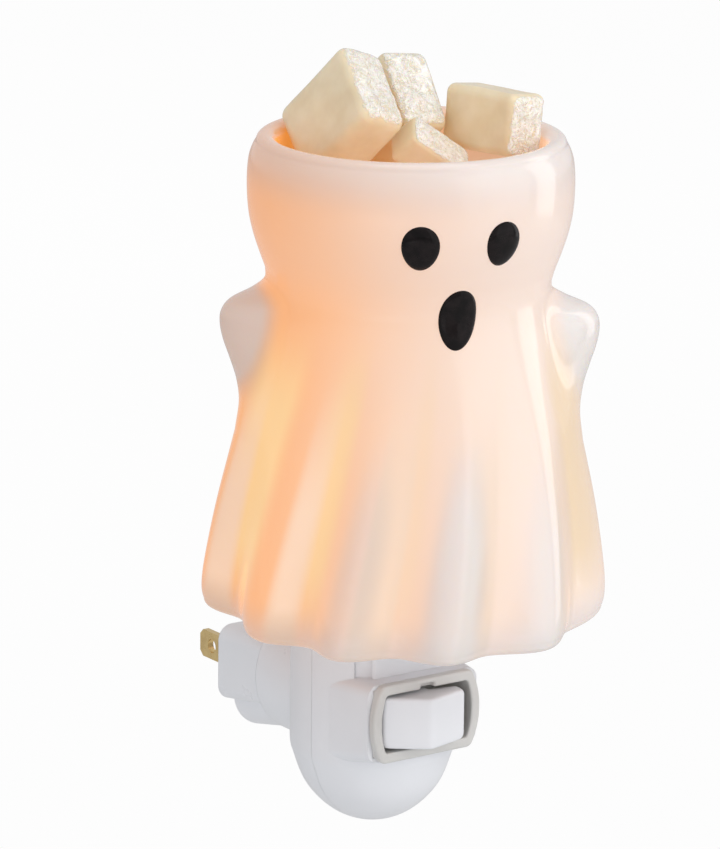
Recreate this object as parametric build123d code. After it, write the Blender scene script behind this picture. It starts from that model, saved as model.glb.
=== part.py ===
"""Plug-in wax melt warmer: a glazed porcelain ghost shade over a small bulb, on a plastic base.

Millimetres, +Z up. The wall is the plane Y = 0 and the room is towards -Y. The origin is where
the axis of the plug's swivel meets the wall. Wax pieces lie in the dish in the ghost's head.
"""

import math
import os

from build123d import *

# Driving dimensions of the plug
PLUG_WIDTH = 26.0
PLUG_TALL = 17.6
PLUG_LENGTH = 18.0
PLUG_DROP = 1.8
PLUG_NOSE_TALL = 14.8
PLUG_CORNER = 3.5
PLUG_NOSE_CORNER = 2.5
LOBE_RADIUS = 8.7
LOBE_NOSE_RADIUS = 7.0
BLADE_SPACING = 12.7
BLADE_THICKNESS = 1.5
LIVE_WIDTH = 6.35
NEUTRAL_WIDTH = 7.9
BLADE_LENGTH = 16.5
BLADE_TIP = 2.4
BLADE_HOLE = 1.6
BLADE_HOLE_FROM_TIP = 4.8
TAIL_WIDTH = 3.2
SPIGOT_RADIUS = 9.0
SPIGOT_WALL = 1.5
SPIGOT_LENGTH = 6.6
RETAINER_RADIUS = 12.0
RETAINER_THICKNESS = 1.8

# Driving dimensions of the housing
HOUSING_RADIUS = 18.4
HOUSING_STANDOFF = 24.1
HOUSING_TOP = 19.0
BELLY_Z = -7.1
BELLY_DEPTH = 21.5
BELLY_STEPS = 6
HOUSING_WALL = 2.0
SEAM_BACK = 2.5
BARREL_RADIUS = 15.0
BARREL_WALL = 2.0
GROOVE_DEPTH = 0.9
GROOVE_FROM_DEG = 36.0
GROOVE_TO_DEG = 48.0
FLAT_BACK = 15.4
FLAT_WIDTH = 21.0
SCREW_X_SHARE = 0.7065
SCREW_Z = 12.0
LOW_SCREW_Z = -18.0
SCREW_RADIUS = 1.3
SCREW_HEAD_RADIUS = 2.5
SCREW_HEAD_HEIGHT = 1.6
SCREW_SLOT = 0.8
SCREW_BOSS_RADIUS = 3.2
SCREW_LENGTH_SHARE = 0.8152
SCREW_SLOT_SHARE = 1.4

# Driving dimensions of the switch
SWITCH_WIDTH = 28.6
SWITCH_TALL = 17.8
SWITCH_BULGE = 2.4
BEZEL_THICKNESS = 2.0
BEZEL_PROUD = 2.4
BEZEL_FRAME = 2.3
BEZEL_CORNER = 1.8
SWITCH_DEPTH = 13.8
SWITCH_WALL = 1.1
SWITCH_BACK_WALL = 1.5
NOTCH_WIDTH = 3.6
NOTCH_DEPTH = 1.1
ROCKER_WIDTH = 20.0
ROCKER_TALL = 11.6
ROCKER_REACH = 12.5
ROCKER_RISE = 4.8
ROCKER_SKIRT = 3.2
ROCKER_RIDGE = 2.0
ROCKER_CORNER = 1.3
ROCKER_PIVOT_DEPTH = 7.0
ROCKER_HUB_RADIUS = 2.4
ROCKER_TILT_DEG = 11.0
ROCKER_TAIL = 4.5
ROCKER_TAIL_WIDTH = 3.0
PIN_RADIUS = 1.0
CONTACT_THICKNESS = 0.5
CONTACT_WIDTH = 3.0
CONTACT_BUTTON = 1.2
TAB_WIDTH = 4.0
TAB_THICKNESS = 0.8
TAB_LENGTH = 6.0
TAB_X = 6.5
LEAF_DEPTH = 0.7

# Driving dimensions of the shade's seat and the lamp socket
SHADE_FORWARD = 12.0
SEAT_RISE = 8.5
SEAT_RADIUS = 21.0
SEAT_THICKNESS = 2.4
COLLAR_RADIUS = 16.1
COLLAR_HEIGHT = 5.5
PEDESTAL_RADIUS = 14.0
PEDESTAL_BACK = 4.5
PEDESTAL_FLOOR = 2.0
NECK_BACK = 8.0
NECK_RADIUS = 8.0
NECK_BORE = 5.0
NECK_FLANGE_RADIUS = 9.2
NECK_FLANGE_THICKNESS = 1.8
RIB_THICKNESS = 2.0
RIB_SPREAD_DEG = 38.0
SOCKET_RADIUS = 11.5
SOCKET_HEIGHT = 24.0
SOCKET_CELLAR = 5.0
SOCKET_CELLAR_RADIUS = 9.5
SOCKET_WEB = 2.2
SHELL_RADIUS = 6.5
SHELL_WALL = 0.4
SHELL_HEIGHT = 14.8
SHELL_TAB_WIDTH = 2.0
SHELL_TAB_THICKNESS = 0.5
WIRE_RADIUS = 1.0
WIRE_SPREAD = 2.3
WIRE_START_SPREAD = 1.3
WIRE_BEND = 2.6

# Driving dimensions of the bulb
CAP_RADIUS = 5.95
CAP_HEIGHT = 10.5
BULB_INSULATOR_HEIGHT = 2.6
BULB_TIP_RADIUS = 2.4
BULB_TIP_HEIGHT = 1.6
GLASS_RADIUS = 11.0
GLASS_HEIGHT = 38.5
GLASS_WALL = 0.7
GLASS_NECK_RADIUS = 5.2
MOUNT_HEIGHT = 9.0
MOUNT_RADIUS = 2.6
FILAMENT_SPREAD = 5.0
FILAMENT_RISE = 11.0
FILAMENT_RADIUS = 0.35

# Driving dimensions of the shade
SHADE_HEIGHT = 104.5
SHADE_RADIUS = 44.0
SHADE_WALL = 3.8
SHADE_FLOOR = 4.0
SKIRT_DROP = 3.7
HOLE_CLEARANCE = 0.4
FACE_TURN_DEG = -16.0
ARM_TURN_DEG = -28.0
ARM_REACH = 10.2
ARM_HALF_DEG = 27.0
ARM_LIFT = 1.2
FOLD_REACH = 5.7
FOLD_SWIRL_DEG = 13.0
DISH_RADIUS_SHARE = 0.65
DISH_DEPTH_SHARE = 0.4965
DISH_CORNER_SHARE = 0.28
DISH_LIP = 2.6
CREST_LAND = 0.5
DISH_FLOOR = 4.2
EYE_WIDTH = 8.2
EYE_TALL = 9.8
EYE_PROUD = 1.1
EYE_SPREAD_DEG = 15.9
EYE_LEAN_DEG = 7.0
EYE_DOWN = 17.6
MOUTH_WIDTH = 8.4
MOUTH_TALL = 15.4
MOUTH_PROUD = 2.0
MOUTH_DOWN = 34.0

# Driving dimensions of the wax pieces
MELT_LENGTH_SHARE = 0.85
MELT_WIDTH_SHARE = 0.762
MELT_THICKNESS_SHARE = 0.42
MELT_EDGE_SHARE = 0.07

# Fits
SWIVEL_GAP = 0.1
SWIVEL_FIT = 0.06
PIN_FIT = 0.05
REST_GAP = 0.3
CUT_OVERRUN = 1.0

# Where things lie, worked out from the sizes above
HOUSING_Y = -(HOUSING_STANDOFF + HOUSING_RADIUS)
SEAM_Y = HOUSING_Y - SEAM_BACK
BARREL_BACK_Y = -(PLUG_LENGTH + SWIVEL_GAP)
BEZEL_FRONT_Y = HOUSING_Y - HOUSING_RADIUS - BEZEL_PROUD
BEZEL_BACK_Y = BEZEL_FRONT_Y + BEZEL_THICKNESS
SWITCH_BACK_Y = BEZEL_BACK_Y + SWITCH_DEPTH
PIVOT_Y = BEZEL_FRONT_Y + ROCKER_PIVOT_DEPTH
SHADE_Y = HOUSING_Y - SHADE_FORWARD
NECK_Y = SHADE_Y + NECK_BACK
PEDESTAL_Y = SHADE_Y + PEDESTAL_BACK
SEAT_Z = HOUSING_TOP + SEAT_RISE
HEM_Z = SEAT_Z - SKIRT_DROP
RIM_Z = HEM_Z + SHADE_HEIGHT
SCREW_X = HOUSING_RADIUS * SCREW_X_SHARE
SCREW_LENGTH = HOUSING_RADIUS * SCREW_LENGTH_SHARE
DISH_RADIUS = SHADE_RADIUS * DISH_RADIUS_SHARE
DISH_DEPTH = DISH_RADIUS * DISH_DEPTH_SHARE
DISH_CORNER = DISH_RADIUS * DISH_CORNER_SHARE
DISH_FLOOR_Z = RIM_Z - DISH_DEPTH
MELT_LENGTH = DISH_RADIUS * MELT_LENGTH_SHARE
MELT_WIDTH = DISH_RADIUS * MELT_WIDTH_SHARE
MELT_THICKNESS = DISH_RADIUS * MELT_THICKNESS_SHARE
MELT_EDGE = DISH_RADIUS * MELT_EDGE_SHARE
SOCKET_Z = HOUSING_TOP + PEDESTAL_FLOOR
WEB_Z = SOCKET_Z + SOCKET_CELLAR
WELL_Z = WEB_Z + SOCKET_WEB
TIP_Z = WELL_Z + CONTACT_THICKNESS + SWIVEL_GAP
BULB_INSULATOR_Z = TIP_Z + BULB_TIP_HEIGHT
CAP_Z = BULB_INSULATOR_Z + BULB_INSULATOR_HEIGHT
GLASS_Z = CAP_Z + CAP_HEIGHT

# The ghost's outline: height up the shade as a share, with its radius as a share
# Small proportions
BOSS_WIDTH_SHARE = 0.93
NEUTRAL_LEVEL_SHARE = 0.7
SWITCHED_LEVEL_SHARE = 0.8
TIP_POINT_SHARE = 0.6
BEAD_LOW_SHARE = 1.1
BEAD_HIGH_SHARE = 0.9
FILAMENT_BEND_SHARE = 2.5
DOME_SUNK_SHARE = 0.5

PROFILE_SHARES = [
    (0.000, 0.955),
    (0.022, 0.992),
    (0.060, 1.000),
    (0.134, 0.978),
    (0.230, 0.937),
    (0.325, 0.886),
    (0.421, 0.830),
    (0.500, 0.773),
    (0.574, 0.725),
    (0.632, 0.696),
    (0.680, 0.687),
    (0.718, 0.705),
    (0.756, 0.737),
    (0.799, 0.770),
    (0.842, 0.791),
    (0.900, 0.799),
    (0.947, 0.792),
    (0.971, 0.775),
    (0.988, 0.750),
    (1.000, 0.714),
]

# The arms' reach at heights up the shade, as shares of their full reach
ARM_SHARES = [
    (0.370, 0.00),
    (0.430, 0.09),
    (0.480, 0.31),
    (0.524, 0.58),
    (0.566, 0.84),
    (0.600, 0.98),
    (0.625, 0.99),
    (0.646, 0.84),
    (0.664, 0.44),
    (0.684, 0.10),
    (0.710, 0.00),
]

# The skirt's crests and valleys at the hem, by azimuth, as shares of the deepest fold's reach
FOLD_SHARES = [
    (-180.0, -0.45),
    (-161.0, 0.15),
    (-140.0, -0.40),
    (-121.0, 0.12),
    (-102.0, -0.74),
    (-80.0, 0.28),
    (-67.0, -0.28),
    (-53.0, 0.86),
    (-39.0, 0.00),
    (-25.0, 1.00),
    (-11.5, 0.12),
    (4.0, 0.65),
    (22.5, -0.33),
    (46.0, -0.10),
    (66.0, -0.40),
    (86.0, 0.18),
    (104.0, -0.50),
    (123.0, 0.10),
    (142.0, -0.45),
    (161.0, 0.12),
    (180.0, -0.45),
]
FOLD_TOP_SHARE = 0.62
FOLD_EASE_SHARE = 1.3

# How many level rings the shade and its hollow are lofted through, and points in each ring
SHADE_RINGS = 36
CAVITY_RINGS = 26
SECTION_POINTS = 72

# The glass bulb's outline: height as a share, with its radius as a share
GLASS_SHARES = [(0.10, 0.56), (0.24, 0.84), (0.42, 1.0), (0.62, 0.93), (0.80, 0.70), (0.93, 0.40)]

# Wax pieces: place as shares of the dish's radius and of its depth above its floor,
# turn in degrees, and width, length and thickness as shares
MELTS = {
    "wax_melt_left": ((-0.381, 0.364, 1.173), (4.0, -70.0, 55.0), (1.0, 1.0, 1.0)),
    "wax_melt_back": ((0.227, 0.500, 1.106), (-50.9, -80.3, -4.1), (0.94, 0.798, 1.0)),
    "wax_melt_right": ((0.655, -0.136, 1.117), (-124.2, 77.3, 123.5), (0.642, 0.864, 0.933)),
    "wax_melt_front": ((0.093, -0.107, 0.674), (-55.4, 28.3, 23.8), (0.757, 0.37, 0.717)),
}

MIN_ALIGN = (Align.CENTER, Align.CENTER, Align.MIN)


def rod_z(radius, bottom, top, x=0.0, y=0.0):
    return Pos(x, y, bottom) * Cylinder(radius, top - bottom, align=MIN_ALIGN)


def rod_y(radius, back, front, x=0.0, z=0.0):
    """A rod along Y from its end at the wall side to its end at the room side."""
    return Pos(x, back, z) * Rot(90, 0, 0) * Cylinder(radius, back - front, align=MIN_ALIGN)


def block(x, y, z):
    """A box between three pairs of limits."""
    size = [abs(pair[1] - pair[0]) for pair in (x, y, z)]
    centre = [(pair[0] + pair[1]) / 2 for pair in (x, y, z)]
    return Pos(*centre) * Box(*size)


def one_solid(shape):
    """The largest solid of a shape."""
    return sorted(shape.solids(), key=lambda s: s.volume)[-1]


def table_value(x, table):
    """A smooth curve through a table's pairs."""
    if x <= table[0][0]:
        return table[0][1]
    if x >= table[-1][0]:
        return table[-1][1]
    k = max(i for i in range(len(table) - 1) if table[i][0] <= x)

    def slope(i):
        low = table[max(i - 1, 0)]
        high = table[min(i + 1, len(table) - 1)]
        return (high[1] - low[1]) / (high[0] - low[0])

    (x0, y0), (x1, y1) = table[k], table[k + 1]
    step = x1 - x0
    t = (x - x0) / step
    start = (2 * t**3 - 3 * t**2 + 1) * y0 + (t**3 - 2 * t**2 + t) * step * slope(k)
    end = (3 * t**2 - 2 * t**3) * y1 + (t**3 - t**2) * step * slope(k + 1)
    return start + end


def fold_value(azimuth):
    """How far the hem swells at an azimuth, eased from each crest to the next valley."""
    azimuth = (azimuth + 180.0) % 360.0 - 180.0
    for (a0, v0), (a1, v1) in zip(FOLD_SHARES, FOLD_SHARES[1:]):
        if a0 <= azimuth <= a1:
            ease = (1 - math.cos(math.pi * (azimuth - a0) / (a1 - a0))) / 2
            return v0 + (v1 - v0) * ease
    return FOLD_SHARES[0][1]


def arm_value(azimuth, up):
    """How far an arm stands out at an azimuth and a height share."""
    total = 0.0
    for side in (-1, 1):
        turn = (azimuth - ARM_TURN_DEG - side * 90.0 + 180.0) % 360.0 - 180.0
        if abs(turn) < ARM_HALF_DEG:
            lift = side * ARM_LIFT / SHADE_HEIGHT
            round_off = math.cos(math.pi / 2 * turn / ARM_HALF_DEG) ** 2
            total += table_value(up + lift, ARM_SHARES) * round_off
    return total


def shade_radius(azimuth, up):
    """The shade's outer radius at an azimuth (0 is the front, 90 is +X) and a height share."""
    radius = SHADE_RADIUS * table_value(up, PROFILE_SHARES)
    if up < FOLD_TOP_SHARE:
        depth = (1 - up / FOLD_TOP_SHARE) ** FOLD_EASE_SHARE
        turn = FOLD_SWIRL_DEG * min(up / FOLD_TOP_SHARE, 1.0)
        radius += FOLD_REACH * depth * fold_value(azimuth - turn)
    return radius + ARM_REACH * arm_value(azimuth, up)


def shade_ring(up, inset, z):
    """A closed smooth wire round the shade at a height."""
    points = []
    for i in range(SECTION_POINTS):
        azimuth = 360.0 * i / SECTION_POINTS - 180.0
        radius = shade_radius(azimuth, up) - inset
        angle = math.radians(azimuth)
        points.append((radius * math.sin(angle), SHADE_Y - radius * math.cos(angle), z))
    return Wire([Edge.make_spline(points, periodic=True)])


def shade_loft(low, high, count, inset):
    """A solid through evenly spaced rings between two height shares."""
    rings = []
    for i in range(count):
        up = low + (high - low) * i / (count - 1)
        rings.append(shade_ring(up, inset, HEM_Z + up * SHADE_HEIGHT))
    return Solid.make_loft(rings)


def dish_form(top):
    """The hollow of the dish, up to a height above the rim."""
    wall_x = DISH_RADIUS
    floor_z = DISH_FLOOR_Z
    crest = SHADE_RADIUS * PROFILE_SHARES[-1][1] - CREST_LAND
    lip_x = crest - DISH_RADIUS
    bend = math.sin(math.pi / 4)
    profile = [
        Line((0, floor_z), (wall_x - DISH_CORNER, floor_z)),
        ThreePointArc(
            (wall_x - DISH_CORNER, floor_z),
            (wall_x - DISH_CORNER * (1 - bend), floor_z + DISH_CORNER * (1 - bend)),
            (wall_x, floor_z + DISH_CORNER),
        ),
        Line((wall_x, floor_z + DISH_CORNER), (wall_x, RIM_Z - DISH_LIP)),
        ThreePointArc(
            (wall_x, RIM_Z - DISH_LIP),
            (wall_x + lip_x * (1 - bend), RIM_Z - DISH_LIP * (1 - bend)),
            (crest, RIM_Z),
        ),
        Line((crest, RIM_Z), (crest, top)),
        Line((crest, top), (0, top)),
        Line((0, top), (0, floor_z)),
    ]
    face = make_face(Plane.XZ * (Curve() + profile))
    return Pos(0, SHADE_Y, 0) * revolve(face, Axis.Z)


def make_shade():
    """The porcelain ghost: skirt, arms and head in one, with the dish in its top."""
    floor_top = (SEAT_Z + SHADE_FLOOR - HEM_Z) / SHADE_HEIGHT
    roof = (DISH_FLOOR_Z - DISH_FLOOR - HEM_Z) / SHADE_HEIGHT
    hollow = shade_loft(floor_top, roof, CAVITY_RINGS, SHADE_WALL)
    hollow += rod_z(COLLAR_RADIUS + HOLE_CLEARANCE, HEM_Z, SEAT_Z + SHADE_FLOOR + CUT_OVERRUN, 0, SHADE_Y)
    hollow += shade_loft(-CUT_OVERRUN / SHADE_HEIGHT, SKIRT_DROP / SHADE_HEIGHT, 2, SHADE_WALL)
    body = shade_loft(0.0, 1.0, SHADE_RINGS, 0.0)
    return one_solid(body - dish_form(RIM_Z + CUT_OVERRUN) - hollow)


def face_place(turn_deg, up):
    """A place on the shade's face, looking outwards along the place's Z axis."""
    azimuth = FACE_TURN_DEG + turn_deg
    radius = shade_radius(azimuth, up)
    angle = math.radians(azimuth)
    where = (radius * math.sin(angle), SHADE_Y - radius * math.cos(angle), HEM_Z + up * SHADE_HEIGHT)
    outward = (math.sin(angle), -math.cos(angle), 0)
    across = (math.cos(angle), math.sin(angle), 0)
    return Plane(origin=where, x_dir=across, z_dir=outward)


def glaze_spot(turn_deg, down, width, tall, proud, lean_deg, shade):
    """A domed spot of black glaze on the shade, its middle sunk below the rim."""
    sunk = proud * DOME_SUNK_SHARE
    deep = proud + sunk
    swell = 1 / math.sqrt(1 - (sunk / deep) ** 2)
    dome = scale(Sphere(1), by=(swell * width / 2, swell * tall / 2, deep))
    place = Location(face_place(turn_deg, 1 - down / SHADE_HEIGHT))
    return one_solid(place * Rot(0, 0, lean_deg) * Pos(0, 0, -sunk) * dome - shade)


def plug_section(width, tall, corner, y, z):
    plane = Plane(origin=(0, y, z), x_dir=(1, 0, 0), z_dir=(0, -1, 0))
    return plane * RectangleRounded(width, tall, corner)


def make_blade(x, width):
    """A flat plug blade with a bevelled tip, a hole, and a narrow tail inside the plug."""
    half = BLADE_THICKNESS / 2
    tip = BLADE_LENGTH
    inner = -(PLUG_LENGTH - SPIGOT_WALL)
    outline = Polyline(
        (-width / 2, 0),
        (-width / 2, tip - BLADE_TIP / 2),
        (-width / 2 + BLADE_TIP / 2, tip),
        (width / 2 - BLADE_TIP / 2, tip),
        (width / 2, tip - BLADE_TIP / 2),
        (width / 2, inner / 2),
        (TAIL_WIDTH / 2, inner / 2),
        (TAIL_WIDTH / 2, inner - TAIL_WIDTH),
        (-TAIL_WIDTH / 2, inner - TAIL_WIDTH),
        (-TAIL_WIDTH / 2, inner / 2),
        (-width / 2, inner / 2),
        close=True,
    )
    plane = Plane(origin=(x - half, 0, -PLUG_DROP), x_dir=(0, 0, -1), z_dir=(1, 0, 0))
    blade = extrude(plane * make_face(outline), BLADE_THICKNESS)
    hole_y = BLADE_LENGTH - BLADE_HOLE_FROM_TIP
    hole = Pos(x, hole_y, -PLUG_DROP) * Rot(0, 90, 0) * Cylinder(BLADE_HOLE, 2 * BLADE_THICKNESS)
    return blade - hole


def make_plug(blades):
    """The moulded plug: a block and a lobe that taper to the swivel, with a hollow spigot."""
    nose_y = -PLUG_LENGTH
    body = loft(
        [
            plug_section(PLUG_WIDTH, PLUG_TALL, PLUG_CORNER, 0, -PLUG_DROP),
            plug_section(PLUG_WIDTH, PLUG_NOSE_TALL, PLUG_NOSE_CORNER, nose_y, 0),
        ]
    )
    lobe_z = -PLUG_DROP - LOBE_RADIUS + (LOBE_RADIUS - LOBE_NOSE_RADIUS) / 2
    nose_z = LOBE_NOSE_RADIUS - BARREL_RADIUS + HOUSING_WALL / 4
    lobe = loft(
        [
            Plane(origin=(0, 0, lobe_z), z_dir=(0, -1, 0)) * Circle(LOBE_RADIUS),
            Plane(origin=(0, nose_y, nose_z), z_dir=(0, -1, 0)) * Circle(LOBE_NOSE_RADIUS),
        ]
    )
    spigot = rod_y(SPIGOT_RADIUS, nose_y + CUT_OVERRUN, nose_y - SPIGOT_LENGTH)
    bore = rod_y(SPIGOT_RADIUS - SPIGOT_WALL, nose_y + SPIGOT_WALL, nose_y - SPIGOT_LENGTH)
    plug = body + lobe + spigot - bore
    for blade in blades:
        plug -= blade
    return one_solid(plug)


def make_retainer():
    """The ring that keeps the plug's spigot in the barrel."""
    back = BARREL_BACK_Y - BARREL_WALL - SWIVEL_GAP
    front = back - RETAINER_THICKNESS
    return rod_y(RETAINER_RADIUS, back, front) - rod_y(SPIGOT_RADIUS, back, front)


def housing_form(inset):
    """The egg-bottomed housing, its switch boss left out, drawn in by an inset."""
    radius = HOUSING_RADIUS - inset
    depth = BELLY_DEPTH - inset
    top = HOUSING_TOP - inset
    steps = [math.pi / 2 * i / BELLY_STEPS for i in range(BELLY_STEPS + 1)]
    points = [(radius * math.sin(a), BELLY_Z - depth * math.cos(a)) for a in steps]
    outline = [
        Line(points[0], (0, top)),
        Line((0, top), (radius, top)),
        Line((radius, top), points[-1]),
        Spline(*points, tangents=[(1, 0), (0, 1)]),
    ]
    return Pos(0, HOUSING_Y, 0) * revolve(make_face(Plane.XZ * (Curve() + outline)), Axis.Z)


def boss_form():
    """The swelling that carries the switch, wider and deeper where it leaves the housing."""
    root_y = HOUSING_Y - HOUSING_RADIUS / 3
    corner = BEZEL_CORNER + SWITCH_WALL
    half_tall = SWITCH_TALL / 2
    root_wide = 2 * HOUSING_RADIUS * BOSS_WIDTH_SHARE
    front = Plane(origin=(0, BEZEL_BACK_Y, 0), x_dir=(1, 0, 0), z_dir=(0, -1, 0))
    root = Plane(origin=(0, root_y, -SWITCH_BULGE / 2), x_dir=(1, 0, 0), z_dir=(0, -1, 0))
    return loft(
        [
            root * RectangleRounded(root_wide, 2 * half_tall + SWITCH_BULGE, corner),
            front * RectangleRounded(SWITCH_WIDTH + SWITCH_WALL / 2, 2 * half_tall, corner),
        ]
    )


def end_bulged(width, tall, bulge, corner, back_y, depth):
    """A plate on the switch's face: level top and bottom, bowed ends."""
    half, side = tall / 2, width / 2 - bulge
    outline = [
        Line((-side, half), (side, half)),
        ThreePointArc((side, half), (side + bulge, 0), (side, -half)),
        Line((side, -half), (-side, -half)),
        ThreePointArc((-side, -half), (-side - bulge, 0), (-side, half)),
    ]
    flat = make_face(outline)
    flat = fillet(flat.vertices(), corner)
    plane = Plane(origin=(0, back_y, 0), x_dir=(1, 0, 0), z_dir=(0, -1, 0))
    return extrude(plane * flat, depth)


def screw_places():
    """Where the housing screws lie: across and up."""
    return [(-SCREW_X, SCREW_Z), (SCREW_X, SCREW_Z), (0.0, LOW_SCREW_Z)]


def housing_back_y(x, z):
    """The housing's rear surface at a place across and up."""
    shrink = 1.0
    if z < BELLY_Z:
        shrink = math.sqrt(1 - ((z - BELLY_Z) / BELLY_DEPTH) ** 2)
    return HOUSING_Y + math.sqrt((HOUSING_RADIUS * shrink) ** 2 - x**2)


def head_seat_y(x, z):
    """Where a screw's head bears: sunk below the housing's rear surface."""
    return housing_back_y(abs(x) + SCREW_HEAD_RADIUS, z) - SCREW_HEAD_HEIGHT


def make_shells():
    """The rear shell with its barrel, and the front shell with its switch boss."""
    barrel_end = HOUSING_Y + HOUSING_RADIUS / 2
    barrel = rod_y(BARREL_RADIUS, BARREL_BACK_Y, barrel_end)
    barrel_bore = rod_y(BARREL_RADIUS - BARREL_WALL, BARREL_BACK_Y - BARREL_WALL, barrel_end)
    hub_hole = rod_y(SPIGOT_RADIUS + SWIVEL_FIT, BARREL_BACK_Y + CUT_OVERRUN, barrel_end)
    reach = 2 * HOUSING_RADIUS
    hollow = housing_form(HOUSING_WALL)
    flat_back = HOUSING_Y - FLAT_BACK + HOUSING_WALL
    hollow -= block((-reach, reach), (HOUSING_Y - reach, flat_back), (SWITCH_TALL / 2 - HOUSING_WALL, HOUSING_TOP))
    outer = housing_form(0.0) + barrel + boss_form()
    outer = outer - front_relief()
    shell = outer - hollow - barrel_bore - hub_hole
    for x, z in screw_places():
        root = head_seat_y(x, z)
        post = rod_y(SCREW_BOSS_RADIUS, root, SEAM_Y - SCREW_LENGTH, x, z)
        shell = shell + (post & housing_form(HOUSING_WALL / 2))
    shell = shell - neck_space() - switch_pocket()
    seam = Plane(origin=(0, SEAM_Y, 0), z_dir=(0, 1, 0))
    rear = split(shell, bisect_by=seam, keep=Keep.TOP)
    front = split(shell, bisect_by=seam, keep=Keep.BOTTOM)
    for x, z in screw_places():
        seat = head_seat_y(x, z)
        rear -= rod_y(SCREW_HEAD_RADIUS, -PLUG_LENGTH, seat, x, z)
        rear -= rod_y(SCREW_RADIUS, seat + CUT_OVERRUN, seat - SCREW_LENGTH, x, z)
        front -= rod_y(SCREW_RADIUS, seat, seat - SCREW_LENGTH, x, z)
    return one_solid(rear), one_solid(front)


def front_relief():
    """The flat and the two grooves in the housing's front, above the switch."""
    low = SWITCH_TALL / 2
    high = HOUSING_TOP + CUT_OVERRUN
    far = HOUSING_Y - 2 * HOUSING_RADIUS
    flat = block((-FLAT_WIDTH / 2, FLAT_WIDTH / 2), (HOUSING_Y - FLAT_BACK, far), (low, high))
    ring = rod_z(2 * HOUSING_RADIUS, low, high, 0, HOUSING_Y)
    ring -= rod_z(HOUSING_RADIUS - GROOVE_DEPTH, low, high, 0, HOUSING_Y)
    cuts = flat
    for side in (-1, 1):
        corners = [(0, 0)]
        for angle in (GROOVE_FROM_DEG, GROOVE_TO_DEG):
            a = math.radians(angle)
            long = 3 * HOUSING_RADIUS
            corners.append((side * long * math.sin(a), -long * math.cos(a)))
        wedge = extrude(make_face(Polyline(*corners, close=True)), high - low)
        cuts += ring & (Pos(0, HOUSING_Y, low) * wedge)
    return cuts


def neck_space():
    """The round hole in the housing's top that the seat's neck passes through."""
    return rod_z(NECK_RADIUS, HOUSING_TOP - 2 * HOUSING_WALL, HOUSING_TOP + CUT_OVERRUN, 0, NECK_Y)


def switch_pocket():
    """The hole in the housing's front that the switch snaps into."""
    half_x = SWITCH_WIDTH / 2 - BEZEL_FRAME + SWITCH_WALL
    half_z = SWITCH_TALL / 2 - BEZEL_FRAME + SWITCH_WALL
    return block((-half_x, half_x), (BEZEL_BACK_Y - CUT_OVERRUN, SWITCH_BACK_Y), (-half_z, half_z))


def make_screws():
    """The three cross-slotted screws that hold the shells together."""
    slot_long = SCREW_HEAD_RADIUS * SCREW_SLOT_SHARE
    screws = []
    for x, z in screw_places():
        seat = head_seat_y(x, z)
        head = rod_y(SCREW_HEAD_RADIUS, seat + SCREW_HEAD_HEIGHT, seat, x, z)
        shank = rod_y(SCREW_RADIUS, seat, seat - SCREW_LENGTH, x, z)
        slot = Pos(x, seat + SCREW_HEAD_HEIGHT, z)
        across = Box(slot_long, SCREW_SLOT, SCREW_SLOT)
        upright = Box(SCREW_SLOT, SCREW_SLOT, slot_long)
        screws.append(one_solid(head + shank - slot * across - slot * upright))
    return Compound(screws)


def make_switch_frame(contacts):
    """The switch's bezel and its body behind it, in one moulding."""
    frame = end_bulged(SWITCH_WIDTH, SWITCH_TALL, SWITCH_BULGE, BEZEL_CORNER, BEZEL_BACK_Y, BEZEL_THICKNESS)
    front_edges = frame.faces().sort_by(Axis.Y)[0].edges()
    frame = fillet(front_edges, BEZEL_THICKNESS / 4)
    half_x = SWITCH_WIDTH / 2 - BEZEL_FRAME + SWITCH_WALL
    half_z = SWITCH_TALL / 2 - BEZEL_FRAME + SWITCH_WALL
    body = block((-half_x, half_x), (BEZEL_BACK_Y, SWITCH_BACK_Y), (-half_z, half_z))
    opening_wide = SWITCH_WIDTH - 2 * BEZEL_FRAME
    opening_tall = SWITCH_TALL - 2 * BEZEL_FRAME
    hollow_back = SWITCH_BACK_Y - SWITCH_BACK_WALL
    hollow = end_bulged(
        opening_wide,
        opening_tall,
        SWITCH_BULGE / 2,
        BEZEL_CORNER / 2,
        hollow_back,
        hollow_back - BEZEL_FRONT_Y + CUT_OVERRUN,
    )
    notch_top = opening_tall / 2 + NOTCH_DEPTH
    notch = block(
        (-NOTCH_WIDTH / 2, NOTCH_WIDTH / 2),
        (BEZEL_FRONT_Y - CUT_OVERRUN, BEZEL_BACK_Y - BEZEL_THICKNESS / 4),
        (0, notch_top),
    )
    pin_hole = rod_z(PIN_RADIUS, -half_z, half_z, 0, PIVOT_Y)
    frame = frame + body - hollow - notch - pin_hole
    for contact in contacts:
        frame -= contact
    return one_solid(frame)


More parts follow.
